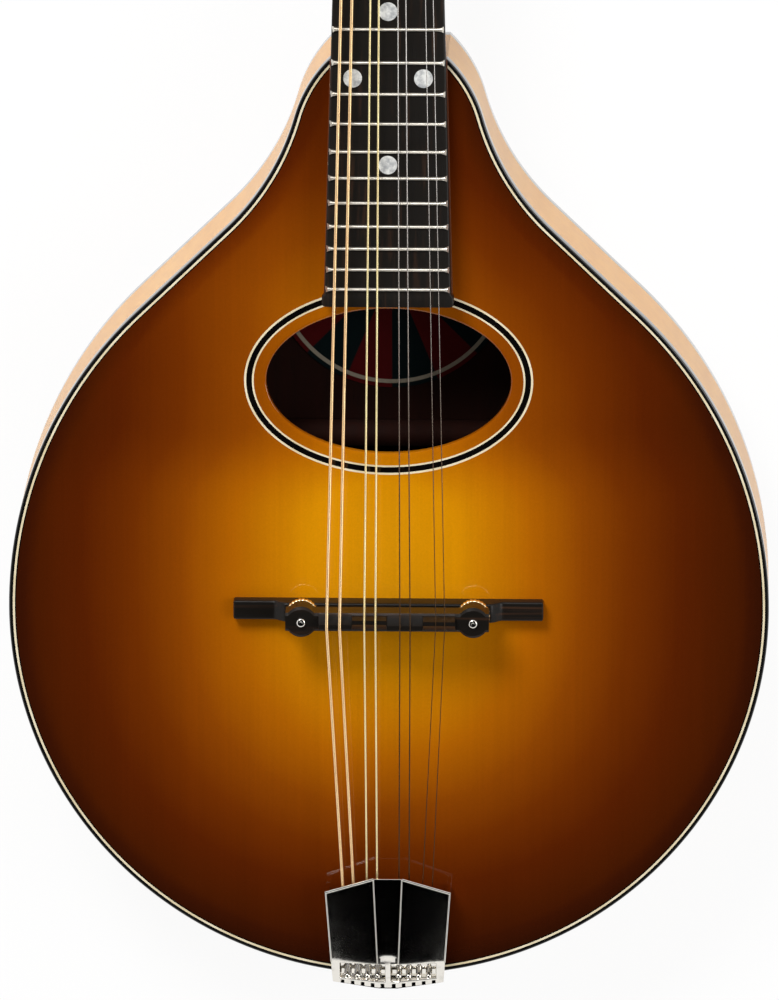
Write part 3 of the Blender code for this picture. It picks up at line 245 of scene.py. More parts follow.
# %% [markdown]
# ## The sunburst
# The spruce top is stained by spraying: amber in the middle under the strings, then brown that
# deepens to nearly black red at the edge. Where the spray lies is worked out on the mesh, as a
# number at each point, because it follows the body's outline. The same number also darkens the
# treble side of the upper bout, which is painted shade. The finish turns the number into colour
# with a ramp. Fine straight grain, a speckle in the lacquer and a gloss coat go over it.

# %% Sunburst lacquer
BURST_REACH = 0.150
BURST_STOPS = [
    (0.000, (219, 147, 9)), (0.024, (213, 139, 5)), (0.034, (196, 121, 5)),
    (0.050, (171, 94, 4)), (0.067, (135, 65, 4)), (0.083, (108, 45, 3)),
    (0.100, (84, 30, 3)), (0.116, (70, 25, 3)), (0.128, (57, 19, 4)), (0.150, (42, 14, 4)),
]


def sunburst_and_painted_shade():
    """A ramp turns the number, spray and painted shade, into colour; grain, cloud and speckle make
    it lighter or darker.
    """
    finish = Finish("sunburst_and_painted_shade", Specular_IOR_Level=0.0, Coat_Weight=1.0,
                    Coat_Roughness=0.03)
    spray_and_painted_shade = finish.add("Attribute", {"attribute_name": "burst"}).beside("Fac")
    cloud = finish.noise(finish.place(), 45.0, 3.0)
    reach = spray_and_painted_shade / BURST_REACH + (cloud - 0.5) * 0.02
    stops = [(place / BURST_REACH, colour(*shade)) for place, shade in BURST_STOPS]
    stain = finish.add("ValToRGB", {"stops": stops}, reach)
    grain = finish.noise(finish.drawn(0.012), 900.0, 3.0, 0.6)
    broad = finish.noise(finish.drawn(0.02), 160.0, 2.0)
    speckle = finish.noise(finish.place(), 1500.0, 1.0)
    light = 0.80 + grain * 0.15 + broad * 0.10 + speckle * 0.15
    finish.vary(Base_Color=finish.shade(stain, light), Roughness=0.36 + speckle * 0.12,
                Normal=finish.bump(grain * 0.3 + cloud, 0.00002))
    return finish.material


spruce_burst_and_painted_shade = sunburst_and_painted_shade()
print("finish:", spruce_burst_and_painted_shade.name)

# %% [markdown]
# ## Woods
# The sides and back are pale maple under clear lacquer: soft bands of figure across the board
# and short brown flecks. Inside, the wood is bare, and its near black colour is a painted shade
# for the dark inside the body. The neck is the same maple stained brown, with a satin coat. Each
# wood is one function with its own colours, because the grain is the same idea: noise stretched a
# long way in one direction.

# %% Maple and stained woods
def wood(name, pale, dark, streak, figure, band, gloss, coat=0.0, depth=0.00004):
    """Colour runs from dark to pale by streaks of grain along Y; figure adds broad bands."""
    finish = Finish(name, Specular_IOR_Level=0.12, Coat_Weight=coat, Coat_Roughness=0.06)
    grain = finish.noise(finish.drawn(0.035), streak, 4.0, 0.6)
    fleck = finish.noise(finish.drawn(0.15), streak * 1.7, 2.0).between(0.62, 0.75)
    bands = finish.noise(finish.drawn(0.12, 2), band, 2.0)
    stain = finish.mix(grain * 0.9 + (bands - 0.5) * figure, dark, pale)
    finish.vary(Base_Color=finish.mix(fleck * 0.35, stain, dark),
                Roughness=gloss + grain * 0.12,
                Normal=finish.bump(grain - fleck * 0.5, depth, 0.6))
    return finish.material


pale_maple = wood("lacquered_maple", colour(236, 188, 118), colour(208, 147, 80),
                  streak=420.0, figure=0.5, band=130.0, gloss=0.28, coat=0.14)
# The inside's near black colour is a painted shade for the dark in the body.
inside_painted_shade = wood("inside_wood_painted_shade", colour(40, 12, 4), colour(20, 5, 2),
                  streak=300.0, figure=0.4, band=60.0, gloss=0.75, depth=0.0001)
brown_maple = wood("brown_satin_maple", colour(122, 66, 34), colour(82, 38, 18),
                   streak=380.0, figure=0.6, band=120.0, gloss=0.38, coat=0.35)
print("woods:", pale_maple.name, inside_painted_shade.name, brown_maple.name)

# %% [markdown]
# ## Ebony, plastics and bone
# Ebony is nearly black with brown streaks, oiled rather than lacquered, so its pores show. The
# binding is black celluloid, polished with the body. The lines beside it, and the knobs, have
# the warm white of old ivory. The nut is bone, and the board's dots are pearl with soft cloudy
# patches.

# %% Ebony, binding, ivory, bone and pearl
def ebony_finish(name, along, gloss, brown):
    """Near black; streaks along one axis turn brown, and pores are pits in the gloss."""
    finish = Finish(name, Specular_IOR_Level=0.12, Coat_Weight=0.10, Coat_Roughness=0.2)
    fibre = finish.drawn(0.02, along)
    streak = finish.noise(fibre, 500.0, 4.0, 0.6)
    pore = finish.noise(fibre, 2600.0, 1.0).between(0.60, 0.72)
    stain = finish.mix(streak.between(0.52, 0.75) * brown, colour(21, 18, 15),
                       colour(74, 48, 32))
    stain = finish.mix(pore * 0.6, stain, colour(8, 7, 7))
    wear = finish.noise(finish.place(), 60.0, 2.0)
    finish.vary(Base_Color=stain, Roughness=gloss + (wear - 0.5) * 0.2 + pore * 0.1,
                Normal=finish.bump(1 - pore, 0.00003, 0.5))
    return finish.material


def polished(name, tint, other, gloss=0.16, coat=0.6, patch=90.0, wave=0.00001, shine=0.5):
    """A moulded or cut material of two close colours in soft patches, with fine wear."""
    finish = Finish(name, Specular_IOR_Level=shine, Coat_Weight=coat, Coat_Roughness=0.05)
    cloud = finish.noise(finish.place(), patch, 3.0, 0.6)
    scuff = finish.noise(finish.drawn(0.2), 1400.0, 2.0)
    finish.vary(Base_Color=finish.mix(cloud.between(0.3, 0.7), tint, other),
                Roughness=gloss + scuff * 0.10, Normal=finish.bump(scuff, wave, 0.4))
    return finish.material


board_ebony = ebony_finish("board_ebony", 1, 0.46, 0.3)
bridge_ebony = ebony_finish("bridge_ebony", 0, 0.34, 0.5)
head_ebony = ebony_finish("head_ebony", 1, 0.22, 0.2)
black_binding = polished("black_binding", colour(12, 12, 12), colour(20, 19, 18), 0.10, 0.8,
                         shine=0.2)
black_line = polished("black_line", colour(12, 10, 9), colour(7, 6, 6), 0.35, 1.0, shine=0.0)
ivory_line = polished("ivory_line", colour(238, 226, 196), colour(222, 205, 166), 0.25, 1.0)
knob_ivory = polished("knob_ivory", colour(236, 226, 200), colour(214, 196, 158), 0.14, 0.8,
                      160.0, 0.00002)
bone = polished("bone", colour(232, 222, 198), colour(212, 198, 168), 0.3, 0.2, 220.0, 0.00003)
pearl = polished("pearl", colour(226, 226, 222), colour(164, 166, 168), 0.12, 0.9, 520.0)
print("ebonies, plastics and pearl: ready")

# %% [markdown]
# ## Metals
# Nickel plate mirrors the room, so it needs little but a hair of haze and a few rubbed spots.
# The thumbwheels are brass. A wound string is a steel core with fine wire turned round it. The
# turns are too small to model, so they are ridges in a Bump node along the string, which runs
# with the object's Y, and the gaps between turns are darkened as a painted shade.

# %% Nickel, brass and string wire
def metal(name, tint, gloss, haze=0.08, patch=140.0):
    """A polished metal: rubbed patches are duller and darker by a fifth."""
    finish = Finish(name, Metallic=1.0)
    rub = finish.noise(finish.place(), patch, 3.0, 0.6)
    fine = finish.noise(finish.drawn(0.15), 2400.0, 2.0)
    dull = tuple(value * 0.82 for value in tint[:3]) + (1.0,)
    finish.vary(Base_Color=finish.mix(rub.between(0.45, 0.8), tint, dull),
                Roughness=gloss + rub * haze + fine * 0.04)
    return finish.material


def wound_wire(name, tint, dark, turns):
    """Ridges along Y: a wave of so many turns to the metre gives height, and painted shade darkens
    the gaps.
    """
    finish = Finish(name, Metallic=0.85)
    ridge = (finish.along_y() * (turns * 2 * math.pi)).sine()
    patch = finish.noise(finish.place(), 60.0, 2.0)
    # Painted shade: where the wave is low, in the gap between two turns, the colour moves to the
    # dark tint.
    gap_shade_and_tone = (ridge * 0.5 + 0.5) * 0.3 + patch * 0.8
    finish.vary(Base_Color=finish.mix(gap_shade_and_tone.between(0.0, 0.8), dark, tint),
                Roughness=0.32 - ridge * 0.05, Normal=finish.bump(ridge, 0.00003, 0.25))
    return finish.material


def steel_with_painted_reflection():
    """Bare steel wire: grey over the board, and dark brown towards the tail, a painted reflection
    of the stained top.
    """
    finish = Finish("plain_string", Metallic=1.0)
    reflection_fades = finish.along_y().between(0.02, 0.20)
    stain = finish.noise(finish.drawn(0.2), 240.0, 3.0)
    # Painted reflection: towards the tail the wire takes the top's dark brown.
    tint = finish.mix(reflection_fades, colour(84, 62, 42), colour(200, 196, 192))
    finish.vary(Base_Color=finish.shade(tint, 0.85 + stain * 0.3),
                Roughness=0.20 + stain * 0.10)
    return finish.material


nickel = metal("polished_nickel", colour(226, 222, 214), 0.05, 0.08)
cast_nickel = metal("cast_nickel", colour(232, 228, 220), 0.02, 0.04, 260.0)
fret_metal = metal("fret_wire", colour(220, 214, 202), 0.30, 0.12, 700.0)
brass = metal("thumbwheel_brass", colour(248, 222, 172), 0.16, 0.14, 400.0)
steel = metal("tool_steel", colour(176, 176, 178), 0.28, 0.14)
plain_wire = steel_with_painted_reflection()
loop_wire = metal("string_loops", colour(196, 192, 186), 0.12, 0.10)
copper_wire = wound_wire("copper_winding", colour(255, 222, 168), colour(232, 176, 124), 2600.0)
gold_wire = wound_wire("gold_winding", colour(255, 242, 184), colour(232, 194, 136), 3600.0)
print("metals:", nickel.name, brass.name, copper_wire.name, gold_wire.name)

# %% [markdown]
# ## How a shape is written
# A shape is a pair: points, and faces that number them. It starts from a few lines: circles,
# arcs, rounded rectangles and the quarter circle that softens an edge. Four makers then cover
# the instrument. `skin` joins rings of points into a wall, `turned` spins a profile about an
# axis, `plate` gives a flat outline a thickness with rounded edges, and `carried` takes a
# section along a path.

# %% Lines and roundings
def full_turn(steps):
    """Angles spaced evenly round a circle."""
    return np.linspace(0, 2 * math.pi, steps, endpoint=False)


def polar(radius, angle, height=None):
    """x = r cos a, y = r sin a, and z where a height is given."""
    x, y = radius * np.cos(angle), radius * np.sin(angle)
    return np.stack([x, y] if height is None else [x, y, height + 0 * x], -1)


def circle(radius, steps=32):
    """A circle's outline about the origin, anticlockwise."""
    return polar(radius, full_turn(steps))


def arc(centre, radius, start, end, steps):
    """Part of a circle round a centre, from one angle to another."""
    return np.asarray(centre) + polar(radius, np.linspace(start, end, steps))


def rectangle(low, high, radius, steps=4):
    """A rectangle's outline whose corners are quarter circles."""
    low, high = np.asarray(low, float) + radius, np.asarray(high, float) - radius
    corners = [high, (low[0], high[1]), low, (high[0], low[1])]
    quarter = math.pi / 2
    return np.concatenate([arc(corner, radius, number * quarter, (number + 1) * quarter, steps + 1)
                           for number, corner in enumerate(corners)])


def rounding(radius, steps=4):
    """A quarter circle from a wall onto a top: how far in, and how far below the top."""
    turn = np.linspace(0, math.pi / 2, steps)
    return radius * (1 - np.cos(turn)), radius * (1 - np.sin(turn))


def smoothstep(share):
    """0 to 1 with a level start and end: 3 s^2 - 2 s^3."""
    share = np.clip(share, 0, 1)
    return share * share * (3 - 2 * share)


print("lines and roundings: ready")

# %% Shapes from rings of points
def ring_faces(rings, columns, closed_rings=False, closed_columns=True):
    """Quads between neighbours on a grid of points numbered row by row."""
    row = np.arange(rings if closed_rings else rings - 1)[:, None]
    column = np.arange(columns if closed_columns else columns - 1)[None, :]
    next_row, next_column = (row + 1) % rings, (column + 1) % columns
    corners = [row * columns + column, row * columns + next_column,
               next_row * columns + next_column, next_row * columns + column]
    return np.stack(np.broadcast_arrays(*corners), -1).reshape(-1, 4).tolist()


def skin(rings, capped=True, closed=False):
    """A tube over rings (m, n, 3), with flat ends, open ends, or its last ring joined to its
    first."""
    rings = np.asarray(rings, float)
    count, columns = rings.shape[:2]
    faces = ring_faces(count, columns, closed)
    if capped and not closed:
        last = (count - 1) * columns
        faces += [list(range(columns))[::-1], list(range(last, last + columns))]
    return rings.reshape(-1, 3), faces


def turned(profile, steps=48):
    """A (radius, height) profile spun about Z: x = r cos a, y = r sin a, z = h."""
    profile = np.asarray(profile, float)
    return skin(polar(profile[:, :1], full_turn(steps), profile[:, 1:]), False)


def normals_of(outline):
    """Outward unit normals of an outline that runs anticlockwise: the chord turned by 90."""
    chord = np.roll(outline, -1, 0) - np.roll(outline, 1, 0)
    normal = np.stack([chord[:, 1], -chord[:, 0]], 1)
    return normal / np.maximum(np.linalg.norm(normal, axis=1, keepdims=True), 1e-12)


def plate(outline, low, high, edge=0.0004, steps=3):
    """A flat outline from one height to another, its two rims rounded to a small radius."""
    outline = np.asarray(outline, float)
    rise, inward = rounding(edge, steps + 1)
    insets = np.concatenate([inward, inward[::-1]])
    heights = np.concatenate([low + rise, high - rise[::-1]])
    flat = outline[None] - insets[:, None, None] * normals_of(outline)[None]
    tall = np.broadcast_to(heights[:, None, None], (*flat.shape[:2], 1))
    return skin(np.concatenate([flat, tall], -1))


def carried(path, section):
    """A section (n, 2) carried along a path (m, 3). Its first axis lies across the path and
    its second is as near up as the path allows."""
    ahead = np.gradient(path, axis=0)
    ahead /= np.linalg.norm(ahead, axis=1, keepdims=True)
    across = np.cross(ahead, [0.0, 0.0, 1.0])
    across /= np.linalg.norm(across, axis=1, keepdims=True)
    over = np.cross(across, ahead)
    return skin(path[:, None] + section[:, :1] * across[:, None] + section[:, 1:] * over[:, None])


def moved(shape, shift=(0.0, 0.0, 0.0), axes=None):
    """A shape turned onto three axes (rows) and moved."""
    points = np.asarray(shape[0], float)
    return (points @ (np.eye(3) if axes is None else np.asarray(axes)) + shift, shape[1])


print("shape makers: ready")

# %% [markdown]
# ## Places and pieces
# The neck leans back from the body and the headstock leans back from the neck, so a `Place`
# holds an origin and three axes and moves shapes from there into the shared frame. `piece`
# joins shapes into one mesh, merges the points that meet, turns the faces outwards and hands it
# to the frame. Faces that meet at less than SHARP degrees are shaded as one curve.

# %% Places and the piece maker
SHARP = 38.0


def tilted(angle):
    """Axes turned about X, so that +Y rises by the angle."""
    sine, cosine = math.sin(angle), math.cos(angle)
    return np.array([[1, 0, 0], [0, cosine, sine], [0, -sine, cosine]], float)


class Place:
    """An origin and three axes, given as rows."""

    def __init__(self, origin, axes=None):
        self.origin = np.asarray(origin, float)
        self.axes = np.eye(3) if axes is None else np.asarray(axes, float)

    def point(self, point):
        return np.asarray(point, float) @ self.axes + self.origin

    def shape(self, shape):
        return self.point(shape[0]), shape[1]

    def beyond(self, origin, axes=None):
        """A place whose origin and axes are given in this one's."""
        inner = np.eye(3) if axes is None else np.asarray(axes, float)
        return Place(self.point(origin), inner @ self.axes)


def piece(name, shapes, finishes, body="root", nodes=(), sharp=SHARP):
    """Joins shapes into one object. One finish serves all, or a list gives one for each."""
    shapes = shapes if isinstance(shapes, list) else [shapes]
    finishes = finishes if isinstance(finishes, list) else [finishes] * len(shapes)
    kinds = list(dict.fromkeys(finishes))
    starts = np.cumsum([0] + [len(points) for points, _ in shapes])
    faces, which = [], []
    for (points, shape_faces), start, finish in zip(shapes, starts, finishes):
        faces += [[corner + int(start) for corner in face] for face in shape_faces]
        which += [kinds.index(finish)] * len(shape_faces)
    mesh = bpy.data.meshes.new(name)
    mesh.from_pydata(np.concatenate([points for points, _ in shapes]).tolist(), [], faces)
    for finish in kinds:
        mesh.materials.append(finish)
    mesh.polygons.foreach_set("material_index", which)
    tidy(mesh, sharp)
    return hand_over(name, mesh, body, nodes)


def tidy(mesh, sharp, merge=1e-6):
    """Merges points that meet, drops empty faces, turns faces out and marks sharp edges."""
    bm = bmesh.new()
    bm.from_mesh(mesh)
    bmesh.ops.remove_doubles(bm, verts=bm.verts, dist=merge)
    bmesh.ops.dissolve_degenerate(bm, edges=bm.edges, dist=merge / 10)
    bmesh.ops.recalc_face_normals(bm, faces=bm.faces)
    bm.to_mesh(mesh)
    bm.free()
    mesh.shade_smooth()
    mesh.set_sharp_from_angle(angle=math.radians(sharp))


def hand_over(name, mesh, body, nodes, bevel=0.0):
    """Links the mesh, softens its edges if asked, gives it a body and hides the nodes it replaces.
    """
    obj = bpy.data.objects.new(name, mesh)
    bpy.context.scene.collection.objects.link(obj)
    if bevel:
        modifier = obj.modifiers.new("soft edge", "BEVEL")
        modifier.width, modifier.segments = bevel, 2
        modifier.limit_method, modifier.angle_limit = "ANGLE", math.radians(35)
        modifier.harden_normals = True
    if body:
        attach(obj, body)
    if nodes:
        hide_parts(*nodes)
    print(f"{name}: {len(mesh.vertices)} points")
    return obj


print("piece maker: ready")

# %% [markdown]
# ## The outline
# The body's edge is drawn with a compass, as its mould would be: one arc round the tail, a
# wider one at the sides, a straight flank, a hollow waist and a small shoulder at the neck. An
# outline that lies further in keeps the same centres and only changes the radii, so every
# plate, line and binding follows the same curve exactly.

# %% The body's outline
DEPTH, TAIL_Y, BODY_END_Y = 0.0455, -0.1286, 0.186022
LOWER_RADIUS, LOWER_Y, SIDE_RADIUS = 0.1270, -0.0016, 0.1405
FLANK, WAIST = math.radians(46.2), math.radians(15.8)
WAIST_RADIUS, WAIST_HALF, SHOULDER_RADIUS = 0.0839, 0.03128, 0.0453


def outline(inset=0.0, fineness=1.0):
    """The whole edge, anticlockwise from the tail: x = cx + r cos a, y = cy + r sin a."""
    steps = [int(count * fineness) for count in (70, 34, 16, 22, 20, 14)]
    out = np.array([math.cos(FLANK), math.sin(FLANK)])
    lower = arc((0, LOWER_Y), LOWER_RADIUS - inset, -math.pi / 2, 0, steps[0])
    side_centre = np.array([LOWER_RADIUS - SIDE_RADIUS, LOWER_Y])
    side = arc(side_centre, SIDE_RADIUS - inset, 0, FLANK, steps[1])
    side_end = side_centre + out * SIDE_RADIUS
    rise = WAIST_RADIUS * (math.cos(WAIST) - math.cos(FLANK))
    length = (side_end[0] - rise - WAIST_HALF) / math.sin(FLANK)
    flank_end = side_end + np.array([-out[1], out[0]]) * length
    share = np.linspace(0, 1, steps[2])[1:-1, None]
    flank = (side_end + (flank_end - side_end) * share) - out * inset
    waist_centre = flank_end + out * WAIST_RADIUS
    waist = arc(waist_centre, WAIST_RADIUS + inset, FLANK + math.pi, WAIST + math.pi, steps[3])
    back = np.array([math.cos(WAIST), math.sin(WAIST)])
    shoulder_centre = waist_centre - back * (WAIST_RADIUS + SHOULDER_RADIUS)
    top = BODY_END_Y - inset
    end = math.asin(min((top - shoulder_centre[1]) / (SHOULDER_RADIUS - inset), 1.0))
    shoulder = arc(shoulder_centre, SHOULDER_RADIUS - inset, WAIST, end, steps[4])
    across = np.linspace(shoulder[-1, 0], 0, steps[5])[1:]
    line = np.stack([across, np.full_like(across, top)], 1)
    half = np.concatenate([lower, side[1:], flank, waist, shoulder[1:], line])
    return np.concatenate([half, (half[::-1] * [-1, 1])[1:-1]])


def level(loop, height):
    """A flat loop (n, 2) as a ring at a height."""
    return np.concatenate([loop, np.full((len(loop), 1), height)], 1)


edge = outline()
print("outline points:", len(edge), "widest:", round(float(edge[:, 0].max() * 2), 4))

# %% [markdown]
# ## The soundboard
# A plate of spruce under 3 mm thick with an oval hole and a groove for the ring round it. A
# flat cut-out would do for the shape, but the spray needs points all over the top. So rings run
# from the hole's edge out to the rim: each starts as an ellipse and ends as the body's outline,
# and the edges of the hole, the groove and the rim are rings too. The spray's number at a point
# is its distance from the bright middle, stretched towards the neck and tail, and a little more
# at the very edge. On the treble side of the upper bout it grows further. That is painted shade,
# as if the fretboard shaded it and the light came from the bass side.

# %% Soundboard
HOLE_Y, HOLE_LONG, HOLE_HIGH = 0.07669, 0.0407, 0.02465
RING_IN, RING_OUT, RING_DEEP = 0.0042, 0.0074, 0.0010
TOP_INSET, TOP_THICK = 0.0024, 0.0028

rim_loop = outline(TOP_INSET)
bearing = rim_loop - [0, HOLE_Y]
bearing /= np.linalg.norm(bearing, axis=1, keepdims=True)


def oval(margin):
    """The hole's ellipse with a margin, where each ray from its middle meets it."""
    a, b = HOLE_LONG + margin, HOLE_HIGH + margin
    reach = a * b / np.hypot(b * bearing[:, 0], a * bearing[:, 1])
    return bearing * reach[:, None] + [0, HOLE_Y]


def burst(points):
    """Distance in metres from the bright middle, as the spray sees it, plus a painted shade on the
    treble side of the upper bout. It is worked out in millimetres, from a middle that lies 2 mm
    to the bass side and 15 mm above the bridge."""
    x, y = points[:, 0] * 1000 + 2.0, points[:, 1] * 1000 - 14.0
    below = -np.minimum(y, 0) * (0.50 - 0.0034 * np.minimum(y, 0))
    above = 50 * smoothstep(y / 50) ** 1.4 + 45 * smoothstep((y - 85) / 75)
    reach = np.hypot(x, below + np.where(y > 0, above, 0))
    # Painted shade: the treble side of the upper bout is made darker, as if the fretboard shaded
    # it.
    reach = reach + 18 * smoothstep((y - 56) / 60) * smoothstep(x / 42)
    loop = outline(0.0, 0.6)
    gap = np.concatenate([np.linalg.norm(part[:, None] - loop[None], axis=2).min(1)
                          for part in np.array_split(points[:, :2], 40)]) * 1000
    return (reach + np.maximum(9 - gap, 0) * 2.2) / 1000


def soundboard_rings():
    """Between hole and rim, ring s is (1 - s) times the ellipse plus s times the outline."""
    high, low = DEPTH, DEPTH - TOP_THICK
    shares = np.linspace(0, 1, 44)[:, None, None]
    outer = oval(RING_OUT)[None] * (1 - shares) + rim_loop[None] * shares
    rings = [level(oval(0.0004), low), level(oval(0.0), low + 0.0004)]
    rings += [level(oval(0.0), high - 0.0006), level(oval(0.00018), high - 0.00018)]
    rings += [level(oval(margin), high) for margin in (0.0006, 0.0018, 0.0030, RING_IN)]
    rings += [level(oval(RING_IN), high - RING_DEEP), level(oval(RING_OUT), high - RING_DEEP)]
    rings += [level(loop, high) for loop in outer]
    rings += [level(rim_loop, low)]
    return np.stack(rings)


soundboard = piece("soundboard", skin(soundboard_rings(), closed=True), spruce_burst_and_painted_shade,
                   nodes=["top_plate"], sharp=30.0)
spots = np.zeros(len(soundboard.data.vertices) * 3, np.float32)
soundboard.data.vertices.foreach_get("co", spots)
spray_and_painted_shade = burst(spots.reshape(-1, 3).astype(float))
layer = soundboard.data.attributes.new("burst", "FLOAT", "POINT")
layer.data.foreach_set("value", spray_and_painted_shade.astype(np.float32))
print("spray runs from", round(float(spray_and_painted_shade.min()), 4), "to", round(float(spray_and_painted_shade.max()), 4))

# %% [markdown]
# ## The ring round the hole
# Three strips of inlay, ivory, black and ivory, glued into the groove and scraped flush. Each is
# a thin band between two ellipses, so a closed skin over four rings makes it. It runs on under
# the fretboard's end, as the real one does.

# %% Soundhole ring
def strip(inner, outer, low, high):
    """A band with a square section between two loops."""
    return skin([level(inner, low), level(inner, high), level(outer, high), level(outer, low)],
                closed=True)


ring_floor = DEPTH - RING_DEEP
marks = [RING_IN, RING_IN + 0.0006, RING_IN + 0.0025, RING_OUT]
names = ["ring_inner_line", "ring_black", "ring_outer_line"]
for name, start, end in zip(names, marks, marks[1:]):
    black = name == "ring_black"
    band = piece(name, strip(oval(start), oval(end), ring_floor, DEPTH),
                 black_line if black else ivory_line)
    if black:
        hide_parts("rosette")

# %% [markdown]
# ## Binding and lines
# The edge where top and sides meet is the first place to be knocked, so it carries a strip of
# black celluloid, rounded over by scraping. Inside it lie a thin ivory line and a hair of black.
# A profile is carried round the outline: each ring is the outline at one inset and height.

# %% Bindings
def round_the_body(profile, closed=True):
    """Carries an (inset, height) profile round the body. An open one is closed by its
    neighbour."""
    return skin([level(outline(inset), height) for inset, height in profile], False, closed)


BINDING, BINDING_TALL, LINE_END, LINE_TALL = 0.0013, 0.0050, 0.0020, 0.0012
soft, drop = rounding(0.0005, 5)
top_profile = [(BINDING, DEPTH - BINDING_TALL), (0, DEPTH - BINDING_TALL),
               *zip(soft, DEPTH - drop), (BINDING, DEPTH)]
back_profile = [(inset, DEPTH - height) for inset, height in top_profile]
for side, profile in (("top", top_profile), ("back", back_profile)):
    piece(f"{side}_binding_strip", round_the_body(profile), black_binding,
          nodes=[f"{side}_binding"])


def line_between(start, end):
    """A thin strip between two insets, flush with the top."""
    return strip(outline(start), outline(end), DEPTH - LINE_TALL, DEPTH)


piece("top_ivory_line", line_between(BINDING, LINE_END), ivory_line, nodes=["top_purfling"])
piece("top_black_line", line_between(LINE_END, TOP_INSET), black_line)

# %% [markdown]
# ## Sides and back
# The sides are maple bent over a hot iron, 2 mm thick, standing between the two bindings. The
# back is a flat plate of the same wood. Both are pale outside and nearly black inside, a painted
# shade for the dark in the body, so each is made of an outer and an inner skin with its own
# finish.

# %% Sides and back
RIM_THICK, BACK_THICK = 0.0022, 0.0024
side_low, side_high = BINDING_TALL, DEPTH - BINDING_TALL
outer_skin = round_the_body([(RIM_THICK, side_low), (0, side_low), (0, side_high),
                             (RIM_THICK, side_high)], False)
inner_skin = round_the_body([(RIM_THICK, side_high), (RIM_THICK, side_low)], False)
piece("sides", [outer_skin, inner_skin], [pale_maple, inside_painted_shade], nodes=["rim"])


def filled(loop, height, rings=24):
    """A loop shrunk in steps onto a line down its middle, to cover a plate."""
    shares = np.linspace(0, 1, rings)[:, None, None]
    middle = np.stack([np.zeros(len(loop)), np.clip(loop[:, 1], -0.02, 0.12)], 1)
    flat = loop[None] * (1 - shares) + middle[None] * shares
    return np.concatenate([flat, np.full((*flat.shape[:2], 1), height)], -1)


back_loop = outline(BINDING)
outside, inside = filled(back_loop, 0.0), filled(back_loop, BACK_THICK)
under = skin(np.concatenate([outside[::-1], level(back_loop, BACK_THICK)[None]]), False)
piece("back_board", [under, skin(inside, False)], [pale_maple, inside_painted_shade],
      nodes=["back_plate"])

# %% [markdown]
# ## Inside the body
# Blocks, linings and braces are sawn spruce, shaped well enough by the solids. Their meshes are
# copied and cleaned of doubled points, and their curves are shaded smooth. What the hole shows
# of them lies in shade, so they take the near black finish that paints that shade. The same way
# serves the heel's cap, the riser and the truss rod later, with a small soft edge added.

# %% Wood inside
def from_solid(node, finish, soft=0.0, body="root", name=None):
    """A cleaned copy of a solid's mesh that stands in for it."""
    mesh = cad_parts[node].data.copy()
    mesh.materials.clear()
    mesh.materials.append(finish)
    mesh.polygons.foreach_set("material_index", np.zeros(len(mesh.polygons), np.int32))
    tidy(mesh, SHARP, 2e-6)
    return hand_over(name or f"{node}_wood", mesh, body, [node], soft)


for node in ("top_lining", "back_lining", "top_brace_upper", "top_brace_middle",
             "top_brace_lower", "back_brace_upper", "back_brace_lower", "neck_block",
             "tail_block"):
    from_solid(node, inside_painted_shade)

# %% [markdown]
# ## The label
# A round of printed paper is glued to the back under the hole, towards the neck. A plain
# pattern of rays in dark red and deep green, inside a cream line, gives it the right colours.
# The rays come from the angle round its middle and the rings from the distance to it.

# %% Label
LABEL_Y, LABEL_RADIUS, LABEL_LOW, LABEL_THICK = 0.10502, 0.0405, 0.0027, 0.0004


def label_paper(rays=8):
    """Rays: the sine of the angle times their number. The line: a band of distances."""
    finish = Finish("label_paper", Roughness=0.8, Specular_IOR_Level=0.1)
    point = finish.add("SeparateXYZ", None, finish.place())
    x, y = point, point.beside("Y") - LABEL_Y
    away = (x * x + y * y).root()
    angle = finish.add("Math", {"operation": "ARCTAN2"}, y, x)
    ray = (angle * rays).sine().between(-0.08, 0.08)
    fibre = finish.noise(finish.place(), 900.0, 3.0)
    ground = finish.mix(ray, colour(80, 8, 10), colour(7, 22, 24))
    line = away.between(0.0376, 0.0379) * (1 - away.between(0.0389, 0.0392))
    ink = finish.mix(line, ground, colour(158, 148, 130))
    finish.vary(Base_Color=finish.shade(ink, 0.80 + fibre * 0.3),
                Normal=finish.bump(fibre, 0.00005, 0.4))
    return finish.material


disc = plate(circle(LABEL_RADIUS, 96), 0, LABEL_THICK, 0.0001)
piece("label_disc", moved(disc, (0, LABEL_Y, LABEL_LOW)), label_paper(), nodes=["label"])

# %% [markdown]
# ## The neck's two places
# The neck leans 4 degrees back from the body and the headstock 14 more. Everything above the
# body is written in one of these two places: `neck` lies on the fretboard's face where the body
# ends, and `head` on the headstock's face where the nut stands.

# %% Neck and head places
FIT = 0.0003
SCALE, BOARD_LENGTH, NUT_Y = 0.3524, 0.247401, 0.165924
BOARD_THICK, BOARD_HIGH, NUT_HALF, BOARD_END_HALF = 0.0055, 0.0520, 0.0149, 0.0210
HEAD_START, HEAD_LENGTH, NECK_TOP = NUT_Y + 0.0050, 0.1520, -BOARD_THICK - FIT
NECK_LEAN, HEAD_LEAN = math.radians(4), math.radians(14)
neck = Place((0, BODY_END_Y, BOARD_HIGH), tilted(-NECK_LEAN))
head = neck.beyond((0, HEAD_START, NECK_TOP), tilted(-HEAD_LEAN))


def board_half(y):
    """Half the board's width, which grows evenly from the nut to the board's end."""
    share = (NUT_Y - np.asarray(y, float)) / BOARD_LENGTH
    return NUT_HALF + (BOARD_END_HALF - NUT_HALF) * share


def fret_y(number):
    """Each fret leaves the string's length shorter by the twelfth root of two."""
    return NUT_Y - SCALE * (1 - 2 ** (-np.asarray(number, float) / 12))


